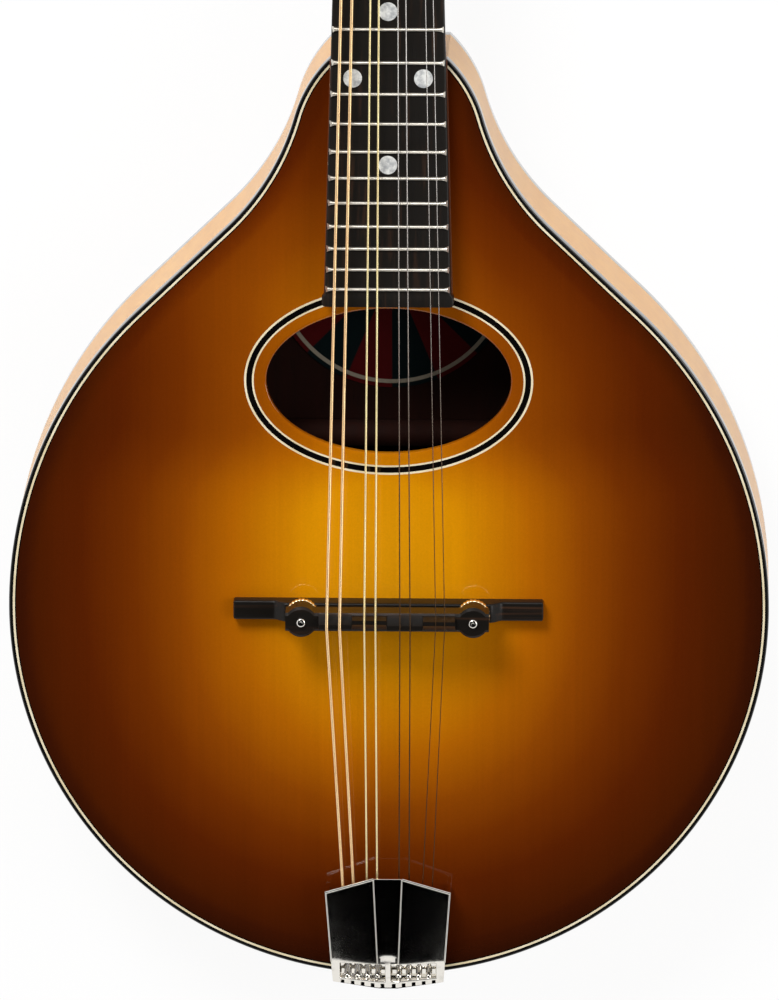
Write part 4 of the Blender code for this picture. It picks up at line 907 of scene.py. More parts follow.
print("nut at", neck.point([0, NUT_Y, 0]).round(4))
print("tip at", head.point([0, HEAD_LENGTH, 0]).round(4))

# %% [markdown]
# ## The fretboard
# A slip of ebony, 5.5 mm thick, that widens to the body and flares a little at its end. Rings
# across it, each a rectangle with rounded upper edges, follow the width; the last few spread
# and round the corners. The frets are wires whose ends are filed to a slope.

# %% Fretboard
def slab(half, low, high, radius):
    """Sections across and up, with rounded upper edges, from columns of half widths and
    heights."""
    soft, drop = rounding(radius)
    across = np.concatenate([half, half - soft, -(half - soft[::-1]), -half], 1)
    up = np.concatenate([low + 0 * half, high - drop + 0 * half, high - drop[::-1] + 0 * half,
                         low + 0 * half], 1)
    return across, up


def board_rings():
    """Slabs at each y, as wide as board_half, plus the end's flare and less its corners."""
    end = NUT_Y - BOARD_LENGTH
    near_end = [0, 0.0002, 0.0006, 0.0012, 0.0022, 0.0032, 0.0040, 0.0044]
    y = np.concatenate([end + np.array(near_end), np.linspace(end + 0.006, NUT_Y, 60)])
    flare = np.clip((end + 0.0044 - y) / 0.0012, 0, 1)
    half = board_half(y) + 0.0009 * smoothstep(flare)
    corner = 0.0011 * (1 - np.sqrt(1 - np.clip(1 - (y - end) / 0.0012, 0, 1) ** 2))
    x, z = slab((half - corner)[:, None], -BOARD_THICK, 0.0, 0.0006)
    return np.stack([x, y[:, None] + 0 * x, z], -1)


piece("fretboard_slip", neck.shape(skin(board_rings())), board_ebony,
      nodes=["fretboard"])

# %% Frets
FRET_HALF, FRET_TALL = 0.00056, 0.0011


def fret(number):
    """A wire's rounded section. Its ends slope in as they rise and spread a little."""
    y = float(fret_y(number))
    turn = np.linspace(0, math.pi, 9)
    across = np.concatenate([np.cos(turn), [-1, 1]]) * FRET_HALF
    up = np.concatenate([FRET_TALL * np.sin(turn) ** 0.8, [-0.0004, -0.0004]])
    reach = float(board_half(y)) - 0.0002 - 0.75 * np.maximum(up, 0)
    marks = [(-1, 0, 1.9), (-1, 0.0014, 1), (1, 0.0014, 1), (1, 0, 1.9)]
    return skin([np.stack([side * (reach - back), y + across * spread, up], 1)
                 for side, back, spread in marks])


wires = [neck.shape(fret(number)) for number in range(1, 21)]
piece("frets", wires, fret_metal, sharp=50.0)

# %% [markdown]
# ## Position dots
# Rounds of pearl are let into the board between frets, two at the twelfth. They are thin discs
# whose faces stand a hair above the ebony, so that they show cleanly. Small ivory dots on the
# board's edge face the player.

# %% Dots
def between_frets(number):
    return float(fret_y(number) + fret_y(number - 1)) / 2


DOTS = [(5, 0), (7, 0), (10, 0), (12, -0.0117), (12, 0.0117), (15, 0)]
rounds = [neck.shape(moved(plate(circle(0.0031, 40), -0.0006, 0.00004, 0.00003, 1),
                           (x, between_frets(number), 0))) for number, x in DOTS]
piece("pearl_dots", rounds, pearl)
FACING_X = np.array([[0, 1, 0], [0, 0, 1], [1, 0, 0]], float)


def side_dot(number, shift):
    y = between_frets(number) + shift
    return neck.shape(moved(plate(circle(0.0008, 20), -0.00006, 0.0006, 0.00002, 1),
                            (-float(board_half(y)), y, -0.0028), FACING_X))


SIDE_DOTS = [(5, 0), (7, 0), (10, 0), (12, -0.003), (12, 0.003), (15, 0)]
piece("side_dots", [side_dot(*dot) for dot in SIDE_DOTS], ivory_line)

# %% [markdown]
# ## The nut
# A block of bone at the board's end with eight slots filed in it, one for each string. Its top
# is a height field: a level less a narrow dip at each string. Profiles from front to back are
# carried across at a few hundred places, so the dips are smooth.

# %% Strings' numbers
# For each pair: the wire's width, the pair's middle at the nut and at the saddle, and the gap
# between its two strings at each.
COURSES = {
    "g": (0.00102, -0.01075, -0.01780, 0.0031, 0.0043),
    "d": (0.00066, -0.00355, -0.00560, 0.0022, 0.0037),
    "a": (0.00041, 0.00355, 0.00610, 0.0021, 0.0034),
    "e": (0.00028, 0.01075, 0.01780, 0.0022, 0.0030),
}
STRINGS = [course + number for course in COURSES for number in "12"]


def string_x(name, place):
    """Where a string crosses the nut (place 0) or the saddle (place 1)."""
    _, at_nut, at_saddle, nut_gap, saddle_gap = COURSES[name[0]]
    side = -0.5 if name[1] == "1" else 0.5
    return (at_nut, at_saddle)[place] + side * (nut_gap, saddle_gap)[place]


print("strings:", *STRINGS)

# %% Nut
NUT_TOP = 0.00189


def nut_rings():
    """The top at x is a level less a dip, (1 - |x - string| / w)^0.4, at each string."""
    x = np.linspace(-NUT_HALF, NUT_HALF, 420)
    floor = NUT_TOP + FIT
    top = np.full_like(x, floor + 0.0009)
    for name in STRINGS:
        radius = COURSES[name[0]][0] / 2
        dip = np.clip(1 - np.abs(x - string_x(name, 0)) / (radius + 0.0003), 0, 1) ** 0.4
        top = top - 0.0009 * dip
    top = top - 0.0004 * np.clip(1 - (NUT_HALF - np.abs(x)) / 0.0004, 0, 1) ** 2
    front, back = NUT_Y + 0.00015, HEAD_START - 0.0001
    falls = [(front, 0.0004), (front + 0.0004, 0.0), ((front + back) / 2, 0.0002),
             (back - 0.0016, 0.0011), (back - 0.0004, 0.0016), (back, 0.0022)]
    low = 0 * x - 0.0057
    lines = [(front, low), *[(y, top - fall) for y, fall in falls], (back, low)]
    return np.stack([np.stack([x, y + 0 * x, z], 1) for y, z in lines], 1)


piece("bone_nut", neck.shape(skin(nut_rings())), bone, nodes=["nut"])

# %% [markdown]
# ## The neck
# Carved from one piece of maple with the heel that joins it to the body. Each cross-section is
# half an ellipse under a flat top: x = w cos a, z = top - d sin a. Along the neck the depth d
# grows slowly, then swells fast into the heel. Points that would pass the body's end or the
# heel's foot are moved onto those planes, which cuts them flat. Behind the nut the sections
# spread and grow square, x = w cos^p a, z = top - d sin^p a, into the headstock.

# %% Neck
HEEL_FOOT_Y, HEEL_LENGTH, HEAD_THICK = BOARD_HIGH * math.tan(NECK_LEAN), 0.0340, 0.0150


def neck_depth(y):
    """15.5 mm at the heel and 13.5 at the nut, and the heel's swell, (1 - s)^2.4."""
    past = np.maximum(y - HEEL_FOOT_Y, 0)
    share = np.maximum(past - HEEL_LENGTH, 0) / (NUT_Y - HEEL_FOOT_Y - HEEL_LENGTH)
    shaft = 0.0155 - 0.0020 * share
    swell = np.maximum(1 - past / HEEL_LENGTH, 0) ** 2.4
    return shaft + (1.12 * (BOARD_HIGH + NECK_TOP) - shaft) * swell


def neck_rings():
    """The sections given above, cut flat at the body's end and at the heel's foot."""
    y = np.concatenate([[-0.0068], HEEL_FOOT_Y + HEEL_LENGTH * np.linspace(0, 1, 44) ** 1.3,
                        np.linspace(HEEL_FOOT_Y + HEEL_LENGTH + 0.004, HEAD_START + 0.022, 60)])
    into = smoothstep((y - HEAD_START + 0.016) / 0.030)
    past = np.maximum(y - HEAD_START, 0)
    top = NECK_TOP - past * (math.tan(HEAD_LEAN) + 0.02)
    back = (NECK_TOP - (y - HEAD_START) * math.tan(HEAD_LEAN)
            - HEAD_THICK / math.cos(HEAD_LEAN))
    depth = neck_depth(np.minimum(y, NUT_Y)) * (1 - into) + (top - back + 0.0002) * into
    half = board_half(np.minimum(y, HEAD_START))
    turn = np.linspace(0, math.pi, 41)
    full = 1 - 0.6 * into[:, None]
    z = top[:, None] - depth[:, None] * np.sin(turn) ** full
    y = y[:, None] + 0 * z
    along_head = (y - HEAD_START) * math.cos(HEAD_LEAN) + (NECK_TOP - z) * math.sin(HEAD_LEAN)
    spread = np.where(into[:, None] > 0, 0.0119 * smoothstep(along_head / 0.026), 0)
    x = (half[:, None] + spread) * np.sign(np.cos(turn)) * np.abs(np.cos(turn)) ** full
    slope = math.tan(NECK_LEAN)
    y = np.maximum(y, 0.00005 - slope * z)
    z = np.maximum(z, (0.0019 - BOARD_HIGH) / math.cos(NECK_LEAN) + y * slope)
    return np.stack([x, y, z], -1)


piece("neck_shaft", neck.shape(skin(neck_rings())), brown_maple, nodes=["neck"],
      sharp=42.0)
from_solid("heel_cap", head_ebony, 0.0002)
from_solid("board_riser", brown_maple, 0.0002)

# %% [markdown]
# ## The headstock
# A slab that widens from the nut, 15 mm thick, faced with a thin sheet of ebony. The outline is
# a smooth flare, two straight sides, a rounded corner and a gently crowned tip. Both layers are
# plates of that outline with softened rims. A bell-shaped cover hides the truss rod's end.

# %% Headstock
FACE = 0.0021


def head_outline(margin=0.0, begin=0.0):
    """Half the outline up to the tip, mirrored; it begins at a distance from the nut."""
    lower, upper = 0.0270 - margin, 0.0310 - margin
    start, tip, radius = NUT_HALF - margin, HEAD_LENGTH - margin, 0.0140
    ease = np.linspace(0, 1, 26)
    flare = start + (lower - start) * smoothstep(ease)
    shoulder = np.stack([flare, margin + ease * 0.0260], 1)
    centre = (upper - radius, tip - 0.0080 - radius)
    corner = arc(centre, radius, 0, math.radians(70), 22)
    share = np.linspace(1, 0, 14)[1:-1]
    crown = np.stack([corner[-1, 0] * share, tip + (corner[-1, 1] - tip) * share**2], 1)
    half = np.concatenate([shoulder[shoulder[:, 1] >= begin], corner, crown])
    return np.concatenate([half, [[0, tip]], half[::-1] * [-1, 1]])


piece("headstock", head.shape(plate(head_outline(0, 0.013), -HEAD_THICK, 0, 0.0014, 5)),
      brown_maple, nodes=["neck"])
piece("head_facing", head.shape(plate(head_outline(0.0002), 0, FACE, 0.0004)), head_ebony,
      nodes=["head_overlay"])

# %% Truss rod cover
def cover_outline():
    """A bell: the half width falls as the root of 1 - k t^2 along its length."""
    ease = np.linspace(0, 1, 40)
    x = 0.0090 * np.sqrt(1 - ease**2 * (1 - (0.0011 / 0.0090) ** 2))
    half = np.stack([x, 0.0010 + ease * 0.0280], 1)
    return np.concatenate([half, half[::-1] * [-1, 1]])


def screw(radius=0.0013, tall=0.0007):
    """A domed head with a slot across it: the dome's height drops in a narrow band of x."""
    share = np.linspace(0, 1, 15)[:, None]
    rings = polar(radius * share, full_turn(40), tall * np.sqrt(1 - (share * 0.86) ** 2))
    rings[..., 2] -= 0.45 * tall * (np.abs(rings[..., 0]) < radius * 0.16)
    return skin(np.concatenate([rings, rings[-1:] * [1, 1, 0]]), False)


cover_low, cover_high = FACE + FIT, FACE + FIT + 0.0016
piece("rod_cover", head.shape(plate(cover_outline(), cover_low, cover_high, 0.0004)),
      bridge_ebony, nodes=["truss_cover"])
cover_screws = [head.shape(moved(screw(), (x, y, cover_high - 0.0001)))
                for x, y in ((-0.0062, 0.0045), (0.0062, 0.0045), (0, 0.0245))]
piece("rod_cover_screws", cover_screws, nickel, sharp=60.0)
for node, body in (("truss_rod", "root"), ("truss_nut", "truss_nut")):
    from_solid(node, steel, 0.0002, body, f"{node}_steel")

# %% [markdown]
# ## Tuners
# Each string winds on a post. Behind the headstock the post ends in a toothed wheel, which a
# worm drives when its ivory knob is turned. The wheel's teeth are an outline, the worm's thread
# is a radius that rises and falls round a spiral, r = r0 + h cos(2 pi z / pitch - a), and the
# knob is a bean: two widths that swell and close along its length.

# %% Posts
FIRST, STEP, ACROSS = 0.0380, 0.0233, 0.0175
POSTS = {"g1": (-1, 0), "g2": (-1, 1), "d1": (-1, 2), "d2": (-1, 3),
         "e2": (1, 0), "e1": (1, 1), "a2": (1, 2), "a1": (1, 3)}
SHAFT_Z, WORM_OFF = -0.0192, 0.0083
WRAP_Z, WAIST_AT_WRAP, GEAR_LOW, GEAR_HIGH = 0.0080, 0.00265, -0.0207, -0.0177
UPSIDE_DOWN = np.diag([1.0, -1.0, -1.0])


def post_spot(name):
    side, row = POSTS[name]
    return side * ACROSS, FIRST + row * STEP


def toothed(teeth, radii):
    """An outline whose radius runs through the same few values at every tooth."""
    count = teeth * len(radii)
    return polar(np.tile(radii, teeth), np.arange(count) * 2 * math.pi / count)


def gear():
    """A worm wheel: a toothed outline with a thickness."""
    loop = toothed(12, [0.0056, 0.0056, 0.0053, 0.0047, 0.0047, 0.0050])
    return plate(loop, GEAR_LOW, GEAR_HIGH, 0.0002, 1)


def post_shape(top=0.0151, wide=0.0030, waist=WAIST_AT_WRAP, foot=-0.0200):
    """A turned post with a rounded top and a narrow waist that the string winds on."""
    return turned([(0, top), (0.0021, top), (0.0027, top - 0.0003), (wide, top - 0.0009),
                   (wide, 0.0118), (0.0027, 0.0108), (waist, 0.0096), (waist, 0.0064),
                   (0.0027, 0.0056), (wide, 0.0046), (wide, foot), (0, foot)], 40)


def wrap_shape(name, turns=3.2):
    """A coil: x = r cos a, y = r sin a, z falls by one wire's width each turn."""
    wire = COURSES[name[0]][0]
    angle = np.linspace(0, turns * 2 * math.pi, int(turns * 40))
    drop = wire * 1.02 * angle / (2 * math.pi)
    path = polar(WAIST_AT_WRAP + wire / 2, angle, WRAP_Z - drop) * [-POSTS[name][0], 1, 1]
    return carried(path, circle(wire / 2, 10))


def string_finish(name):
    """A string's finish and its slot."""
    wires = {"g": (copper_wire, "bronze"), "d": (gold_wire, "bronze")}
    return wires.get(name[0], (plain_wire, "steel"))


washer = turned([(0.0031, 0.0021), (0.0031, 0.0030), (0.0040, 0.0030), (0.0047, 0.0025),
                 (0.0049, 0.0021), (0.0031, 0.0021)])
washers = []
for name in STRINGS:
    spot = head.beyond((*post_spot(name), 0))
    wheel_screw = moved(screw(0.0022, 0.0008), (0, 0, GEAR_LOW), UPSIDE_DOWN)
    shapes = [spot.shape(shape) for shape in (post_shape(), gear(), wheel_screw)]
    piece(f"post_{name}_turned", shapes, [nickel, brass, nickel], f"post_{name}",
          [f"tuner_post_{name}"], 40.0)
    finish, slot = string_finish(name)
    piece(f"post_{name}_wrap", spot.shape(wrap_shape(name)), finish, f"post_{name}")
    washers.append(spot.shape(washer))
piece("post_washers", washers, nickel)

# %% Worms and knobs
def threaded(z, radius, deep, pitch, steps):
    """A spiral ridge on a rod: r = r0 + h cos(2 pi z / pitch - a)."""
    angle = full_turn(steps)
    return skin(polar(radius + deep * np.cos(2 * math.pi * z / pitch - angle), angle, z))


def worm(low=-0.0035, high=0.0035, pitch=0.0014):
    """A thread that fades out at both ends."""
    z = np.linspace(low, high, 60)[:, None]
    ends = np.minimum(np.minimum(z - low, high - z) / 0.0005, 1)
    return threaded(z, 0.0019, 0.0005 * ends, pitch, 28)


def knob(start=0.0160, length=0.0110, wide=0.0080, thick=0.0034):
    """Rings along z whose half widths follow (1 - |2t - 1|^3)^(1/2)."""
    share = (1 - np.cos(np.linspace(0, math.pi, 30)))[:, None] / 2
    swell = np.sqrt(np.clip(1 - np.abs(2 * share - 1) ** 3, 0, 1))
    waist = 1 - 0.30 * (1 - share) ** 2
    angle = full_turn(40)
    square = np.sign(np.cos(angle)) * np.abs(np.cos(angle)) ** 0.8
    x = thick * swell * square
    y = wide * swell * waist * np.sin(angle)
    return skin(np.stack([x, y, start + length * share + 0 * angle], -1), False)


shaft_line = [(0, 0.0215), (0.0015, 0.0215), (0.0015, 0.0172), (0.0024, 0.0168),
              (0.0026, 0.0150), (0.0020, 0.0142), (0.0015, 0.0140), (0.0015, -0.0072),
              (0.0012, -0.0076), (0, -0.0076)]
for name in STRINGS:
    side = POSTS[name][0]
    x, y = post_spot(name)
    sideways = np.array([[0, 0, -side], [0, 1, 0], [side, 0, 0]], float)
    spot = head.beyond((x, y + WORM_OFF, SHAFT_Z), sideways)
    piece(f"worm_{name}", [spot.shape(turned(shaft_line, 28)), spot.shape(worm())], nickel,
          f"button_{name}", [f"tuner_button_{name}"], 45.0)
    piece(f"knob_{name}", spot.shape(knob()), knob_ivory, f"button_{name}")

# %% [markdown]
# ## Tuner plates
# Four tuners share one pressed plate on each side. Two ears beside every worm carry its shaft,
# and small slotted screws hold the plate to the wood.

# %% Tuner plates
PLATE_LOW, PLATE_HIGH, PLATE_HALF, END_MARGIN = -0.0165, -0.0152, 0.0075, 0.0090
low_y, high_y = FIRST - END_MARGIN, FIRST + 3 * STEP + WORM_OFF + END_MARGIN


def ear():
    """A tab with a round end, standing down from the plate."""
    loop = np.concatenate([arc((0, 0), 0.0030, math.pi, 2 * math.pi, 16),
                           [[0.0030, 0.0042], [-0.0030, 0.0042]]])
    return plate(loop, -0.0006, 0.0006, 0.0002, 2)


for side, word in ((-1, "bass"), (1, "treble")):
    middle = side * ACROSS
    base = plate(rectangle((-PLATE_HALF, low_y), (PLATE_HALF, high_y), 0.0030, 6), PLATE_LOW,
                 PLATE_HIGH, 0.0003)
    ears = [moved(ear(), (middle + across, FIRST + row * STEP + WORM_OFF, SHAFT_Z), FACING_X)
            for row in range(4) for across in (-0.0060, 0.0060)]
    shapes = [head.shape(shape) for shape in [moved(base, (middle, 0, 0)), *ears]]
    piece(f"tuner_plate_{word}_pressed", shapes, nickel, nodes=[f"tuner_plate_{word}"])
    between = [(middle - 0.0045 * side, FIRST + (row + 0.5) * STEP + 0.004) for row in range(3)]
    spots = [(middle, low_y + 0.0035), *between, (middle, high_y - 0.0030)]
    screws = [head.shape(moved(screw(0.0016, 0.0009), (x, y, PLATE_LOW + 0.0001), UPSIDE_DOWN))
              for x, y in spots]
    piece(f"tuner_plate_{word}_screws", screws, nickel, sharp=60.0)

# %% [markdown]
# ## The bridge
# An ebony foot stands on the top, held by the strings alone. Two threaded posts rise from it;
# a knurled wheel on each lifts the saddle. The foot and the saddle are carried along X: rings
# of one section whose heights and widths change with x. The saddle's ridge steps back and
# forth from pair to pair, which corrects each pair's pitch.

# %% Bridge foot
BRIDGE_Y, FOOT_TALL, FOOT_HALF, POST_X = -0.0010, 0.0045, 0.00325, 0.0286
bridge = Place((0, BRIDGE_Y, DEPTH + FIT))


def foot_rings():
    """The foot is 2.9 mm taller in the middle, between two smooth ramps."""
    x_end = np.array([0.0513, 0.05165, 0.0517])
    x = np.concatenate([-x_end[::-1], np.linspace(-0.0505, 0.0505, 120), x_end])
    rise = smoothstep((0.0382 - np.abs(x)) / 0.0040)
    end = 0.0004 * np.clip((np.abs(x) - x_end[0]) / 0.0004, 0, 1)
    tall, half = (FOOT_TALL + 0.0029 * rise - end)[:, None], (FOOT_HALF - end)[:, None]
    y, z = slab(half, -0.0002, tall, 0.0007)
    return np.stack([x[:, None] + 0 * y, y, z], -1)


piece("bridge_foot", bridge.shape(skin(foot_rings())), bridge_ebony, nodes=["bridge_base"])

# %% Posts and thumbwheels
WHEEL_LOW, SADDLE_LOW, SADDLE_TOP = 0.0085, 0.0113, 0.0235


def threaded_post(low=0.0034, high=0.0215, pitch=0.0007):
    """A fine thread under a flat end with the centre mark of the lathe."""
    z = np.linspace(low, high - 0.0010, 150)[:, None]
    rod = threaded(z, 0.00138, 0.00012, pitch, 20)
    end = turned([(0, -0.0004), (0.0005, 0), (0.0012, 0), (0.0015, -0.0003), (0.0015, -0.0012),
                  (0, -0.0012)], 32)
    return rod, moved(end, (0, 0, high))


knurled = plate(toothed(26, [0.0055, 0.0055, 0.0053, 0.0053]), WHEEL_LOW, WHEEL_LOW + 0.0025,
                0.0006, 3)
for side, word in ((-1, "bass"), (1, "treble")):
    spot = bridge.beyond((side * POST_X, 0, 0))
    piece(f"bridge_post_{word}_thread", [spot.shape(part) for part in threaded_post()], nickel,
          nodes=[f"bridge_post_{word}"], sharp=50.0)
    piece(f"thumbwheel_{word}_knurled", spot.shape(knurled), brass, f"wheel_{word}",
          [f"thumbwheel_{word}"])

# %% Saddle
STEPS = [(-0.0227, -0.0116, -0.0007), (-0.0116, 0.0, 0.0009), (0.0, 0.0120, -0.0009),
         (0.0120, 0.0227, 0.0006)]
BLADE_END, BOSS_RADIUS, SADDLE_HALF, SADDLE_END = 0.0227, 0.0052, 0.0031, 0.0343


def ridge_at(x):
    """How far the ridge stands towards the neck at x."""
    place = np.zeros_like(x)
    for low, high, shift in STEPS:
        place = np.where((x >= low) & (x < high), shift, place)
    return place


def saddle_rings():
    """A blade with a narrow ridge in the middle, and a round boss over each wheel."""
    step_x = np.array([STEPS[0][0], *[high for _, high, _ in STEPS]])
    x = np.unique(np.concatenate([np.linspace(-0.0338, 0.0338, 170), [-0.03385, 0.03385],
                                  step_x - 0.00012, step_x + 0.00012]).round(6))
    blade = np.abs(x) < BLADE_END
    boss = np.sqrt(np.clip(BOSS_RADIUS**2 - (np.abs(x) - POST_X) ** 2, 0, None))
    half = np.maximum(np.where(np.abs(x) < SADDLE_END, SADDLE_HALF, 0), boss)
    low, mid = 0 * x, np.where(blade, 0.0086, 0.0082)
    top = np.where(blade, 0.0122 + FIT, 0.0090)
    ridge = ridge_at(x)
    narrow = np.where(blade, 0.0007, np.maximum(half - 0.0009, 0.0012))
    inner = np.where(blade, 0.0024, half)
    y = np.stack([half, half, inner, ridge + narrow, ridge - narrow, -inner, -half, -half], 1)
    z = np.stack([low, mid - 0.0004, mid, top, top, mid, mid - 0.0004, low], 1)
    return np.stack([x[:, None] + 0 * y, y, z], -1)


piece("saddle_blade", bridge.beyond((0, 0, SADDLE_LOW)).shape(skin(saddle_rings())),
      bridge_ebony, "saddle", ["saddle"], 32.0)

# %% [markdown]
# ## The tailpiece
# A nickel casting hooks over the tail and holds the strings' ends. Its cover has three flat
# facets and falls towards the tail, with two windows where the loops hang on their pins. The
# cover is a small grid: x lines at the facets' edges and the windows' sides, y lines at their
# ends, and the windows' faces left out. Solidify gives the wall and Bevel the bright edges.

# %% Tailpiece cover
tail = Place((0, TAIL_Y, DEPTH))
FRONT, BACK = 0.0370, 0.0030
WINDOW_IN, WINDOW_OUT, NOTCH_HALF = 0.0009, 0.0162, 0.0006
PIN_FIRST, PIN_STEP = 0.00355, 0.00337
WINDOW_ROWS = slice(6, 10)
PINS = {name: side * (PIN_FIRST + row * PIN_STEP)
        for side, names in ((-1, ("d2", "d1", "g2", "g1")), (1, ("a1", "a2", "e1", "e2")))
        for row, name in enumerate(names)}
notch_out = PIN_FIRST + PIN_STEP * (np.arange(5) - 0.5)
notch_x = np.concatenate([-notch_out, notch_out])
notch_edges = np.sort(np.concatenate([notch_x - NOTCH_HALF, notch_x + NOTCH_HALF]))


def cover_section(share):
    """The cover's numbers from its front, 0, to its back, 1."""
    def run(front, back):
        return front + (back - front) * share
    return (run(FRONT, -BACK), run(0.0053, -0.0018), run(0.0210, 0.0186), run(0.0048, 0.0031),
            run(0.0133, 0.0088))


def cover_point(x, share, lift=0.0):
    """The facets: level between the ridges, 1.8 mm lower at the sides, and bent down in a
    curve, 26 (y0 - y)^2, over the last centimetre. The middle one begins 3 mm sooner."""
    y, sweep, half, ridge, tall = cover_section(share)
    out = np.clip((np.abs(x) - ridge) / (half - ridge), 0, 1)
    y = y - sweep * out
    bend = 26.0 * np.maximum(0.0072 - y, 0) ** 2
    dip = 0.06 * np.clip(0.0100 - y, 0, 0.0028) * (np.abs(x) < ridge * 0.95)
    return np.stack([x, y, tall - 0.0018 * out - bend - dip + lift], -1)


def cover_row(share):
    """One line across the cover, with a foot at each side."""
    _, _, half, ridge, _ = cover_section(share)
    marks = np.array([ridge, WINDOW_IN, WINDOW_OUT, half])
    row = cover_point(np.sort(np.concatenate([-marks, marks, notch_edges])), share)
    foot = row[[0, -1]] * [1, 1, 0] + [0, 0, 0.0012]
    return np.concatenate([foot[:1], row, foot[1:]])


def cover_grid():
    """Rows from front to back, without the windows' faces and, in the last, the notches'."""
    y = np.array([FRONT, 0.0224, 0.0110, 0.0100, 0.0086, 0.0072, 0.0062, 0.0046, 0.0030, 0.0012,
                  -0.0005, -0.0014, -BACK])
    grid = np.array([cover_row(share) for share in (FRONT - y) / (FRONT + BACK)])
    rows, columns = grid.shape[:2]
    faces = np.array(ring_faces(rows, columns, False, False)).reshape(rows - 1, columns - 1, 4)
    middle = (grid[-1, 1:, 0] + grid[-1, :-1, 0]) / 2
    window = (np.abs(middle) > WINDOW_IN) & (np.abs(middle) < WINDOW_OUT)
    notch = np.abs(middle[:, None] - notch_x).min(1) < NOTCH_HALF
    keep = np.ones(faces.shape[:2], bool)
    keep[WINDOW_ROWS, window] = False
    keep[-1, notch] = False
    return grid.reshape(-1, 3), faces[keep].tolist()


cover = piece("tailpiece_cover", tail.shape(cover_grid()), cast_nickel, body=None,
              nodes=["tailpiece"], sharp=4.0)
facing_up = cover.data.polygons[len(cover.data.polygons) // 2].normal[2] > 0
walls = cover.modifiers.new("wall", "SOLIDIFY")
walls.thickness, walls.offset = 0.0013, -1.0 if facing_up else 1.0
walls.use_even_offset = True
edges = cover.modifiers.new("bright edges", "BEVEL")
edges.width, edges.segments, edges.limit_method = 0.00042, 3, "ANGLE"
edges.angle_limit, edges.harden_normals = math.radians(30.0), True
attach(cover, "root")
print("cover faces up:", facing_up)

# %% [markdown]
# The facets meet in polished lines, where the buffing wheel has rounded the metal. A flat facet
# mirrors the dark above it and a rounded line mirrors the bright room, so the lines are thin
# half-round beads along the ridges, the sides and the front edges.

# %% Bright lines on the cover
def bead_along(side, part):
    """A thin round bead on the cover: a ridge, a side, or the front edge of a facet."""
    if part == "front":
        _, _, half, ridge, _ = cover_section(0.0)
        path = cover_point(side * np.linspace(ridge, half, 10), 0.003)
    else:
        column = 3 if part == "ridge" else 2
        path = np.array([cover_point(np.array([side * cover_section(share)[column]]), share)[0]
                         for share in np.append(np.linspace(0, 0.66, 12), [0.72, 0.76])])
    width = {"front": 0.00045, "side": 0.00030, "ridge": 0.00022}[part]
    shift = [0, 0, -width * 0.35] if part != "side" else [-side * width * 0.6, 0, -width * 0.5]
    return tail.shape(carried(path + shift, circle(width, 12)))


beads = [bead_along(side, part) for side in (-1, 1) for part in ("ridge", "side", "front")]
piece("tailpiece_bright_lines", beads, cast_nickel, sharp=60.0)

# %% [markdown]
# ## Under the cover
# The cover's back edge is notched like a comb over a low wall. Under the windows lies a floor
# that falls towards the tail, with a pin for each string, and a flange turns down over the tail,
# where the end pin holds it.

# %% Tailpiece's back, pins and flange
PIN_Y, PIN_RADIUS, PIN_TOP = 0.0010, 0.0006, 0.0064


def rear_wall():
    """A wall under the cover's rear edge. Its top closes the notches from below."""
    back = [(-0.0184, -0.0016), (-0.0031, -0.0034), (0.0031, -0.0034), (0.0184, -0.0016)]
    points, faces = plate(back + [(0.0184, -0.0003), (-0.0184, -0.0003)], 0, 1, 0.00012, 1)
    out = np.clip((np.abs(points[:, 0]) - 0.0031) / 0.0155, 0, 1)
    points[:, 2] = 0.0010 + points[:, 2] * (0.0042 - 0.0018 * out)
    return points, faces


def floor_plate():
    """A flat plate whose front edge follows the cover's own sweep."""
    front = cover_point(np.array([0.0195, 0.0, -0.0195]), 0.14)[:, :2]
    back = [(-0.0178, -0.0010), (-0.0031, -0.0027), (0.0031, -0.0027), (0.0178, -0.0010)]
    return plate(np.concatenate([back, front]), 0.0008, 0.0016, 0.0002, 1)


def floor_ramp():
    """A wedge under the windows that falls one in five towards the tail."""
    section = np.array([(-0.0006, 0.0012), (-0.0006, 0.0016), (0.0082, 0.0034), (0.0086, 0.0012)])
    ends = [np.concatenate([np.full((4, 1), x), section], 1) for x in (-0.0174, 0.0174)]
    return skin(ends)


def pin_shape():
    """A thin turned pin with a small round head."""
    return turned([(0, PIN_TOP), (0.0004, PIN_TOP), (0.0007, PIN_TOP - 0.0002),
                   (0.0007, PIN_TOP - 0.0005), (PIN_RADIUS, PIN_TOP - 0.0007),
                   (PIN_RADIUS, 0.0016), (0, 0.0016)], 20)


FACING_TAIL = np.array([[1, 0, 0], [0, 0, 1], [0, -1, 0]], float)
flange_loop = rectangle((-0.0125, -0.0310), (0.0125, 0.0030), 0.0050, 8)
flange = moved(plate(flange_loop, FIT, 0.0027, 0.0006, 3), axes=FACING_TAIL)
parts = [tail.shape(shape) for shape in (rear_wall(), floor_plate(), floor_ramp(), flange)]
parts += [tail.shape(moved(pin_shape(), (x, PIN_Y, 0))) for x in PINS.values()]
piece("tailpiece_back", parts, cast_nickel, nodes=["tailpiece"], sharp=35.0)

# %% [markdown]
# ## The end pin
# An ebony knob turned on a lathe: its profile runs from the flat face over a rounded rim, in to
# a waist, out to a small collar and down the stem in the tail block.

# %% End pin
PIN_FACE_Y = -0.1316


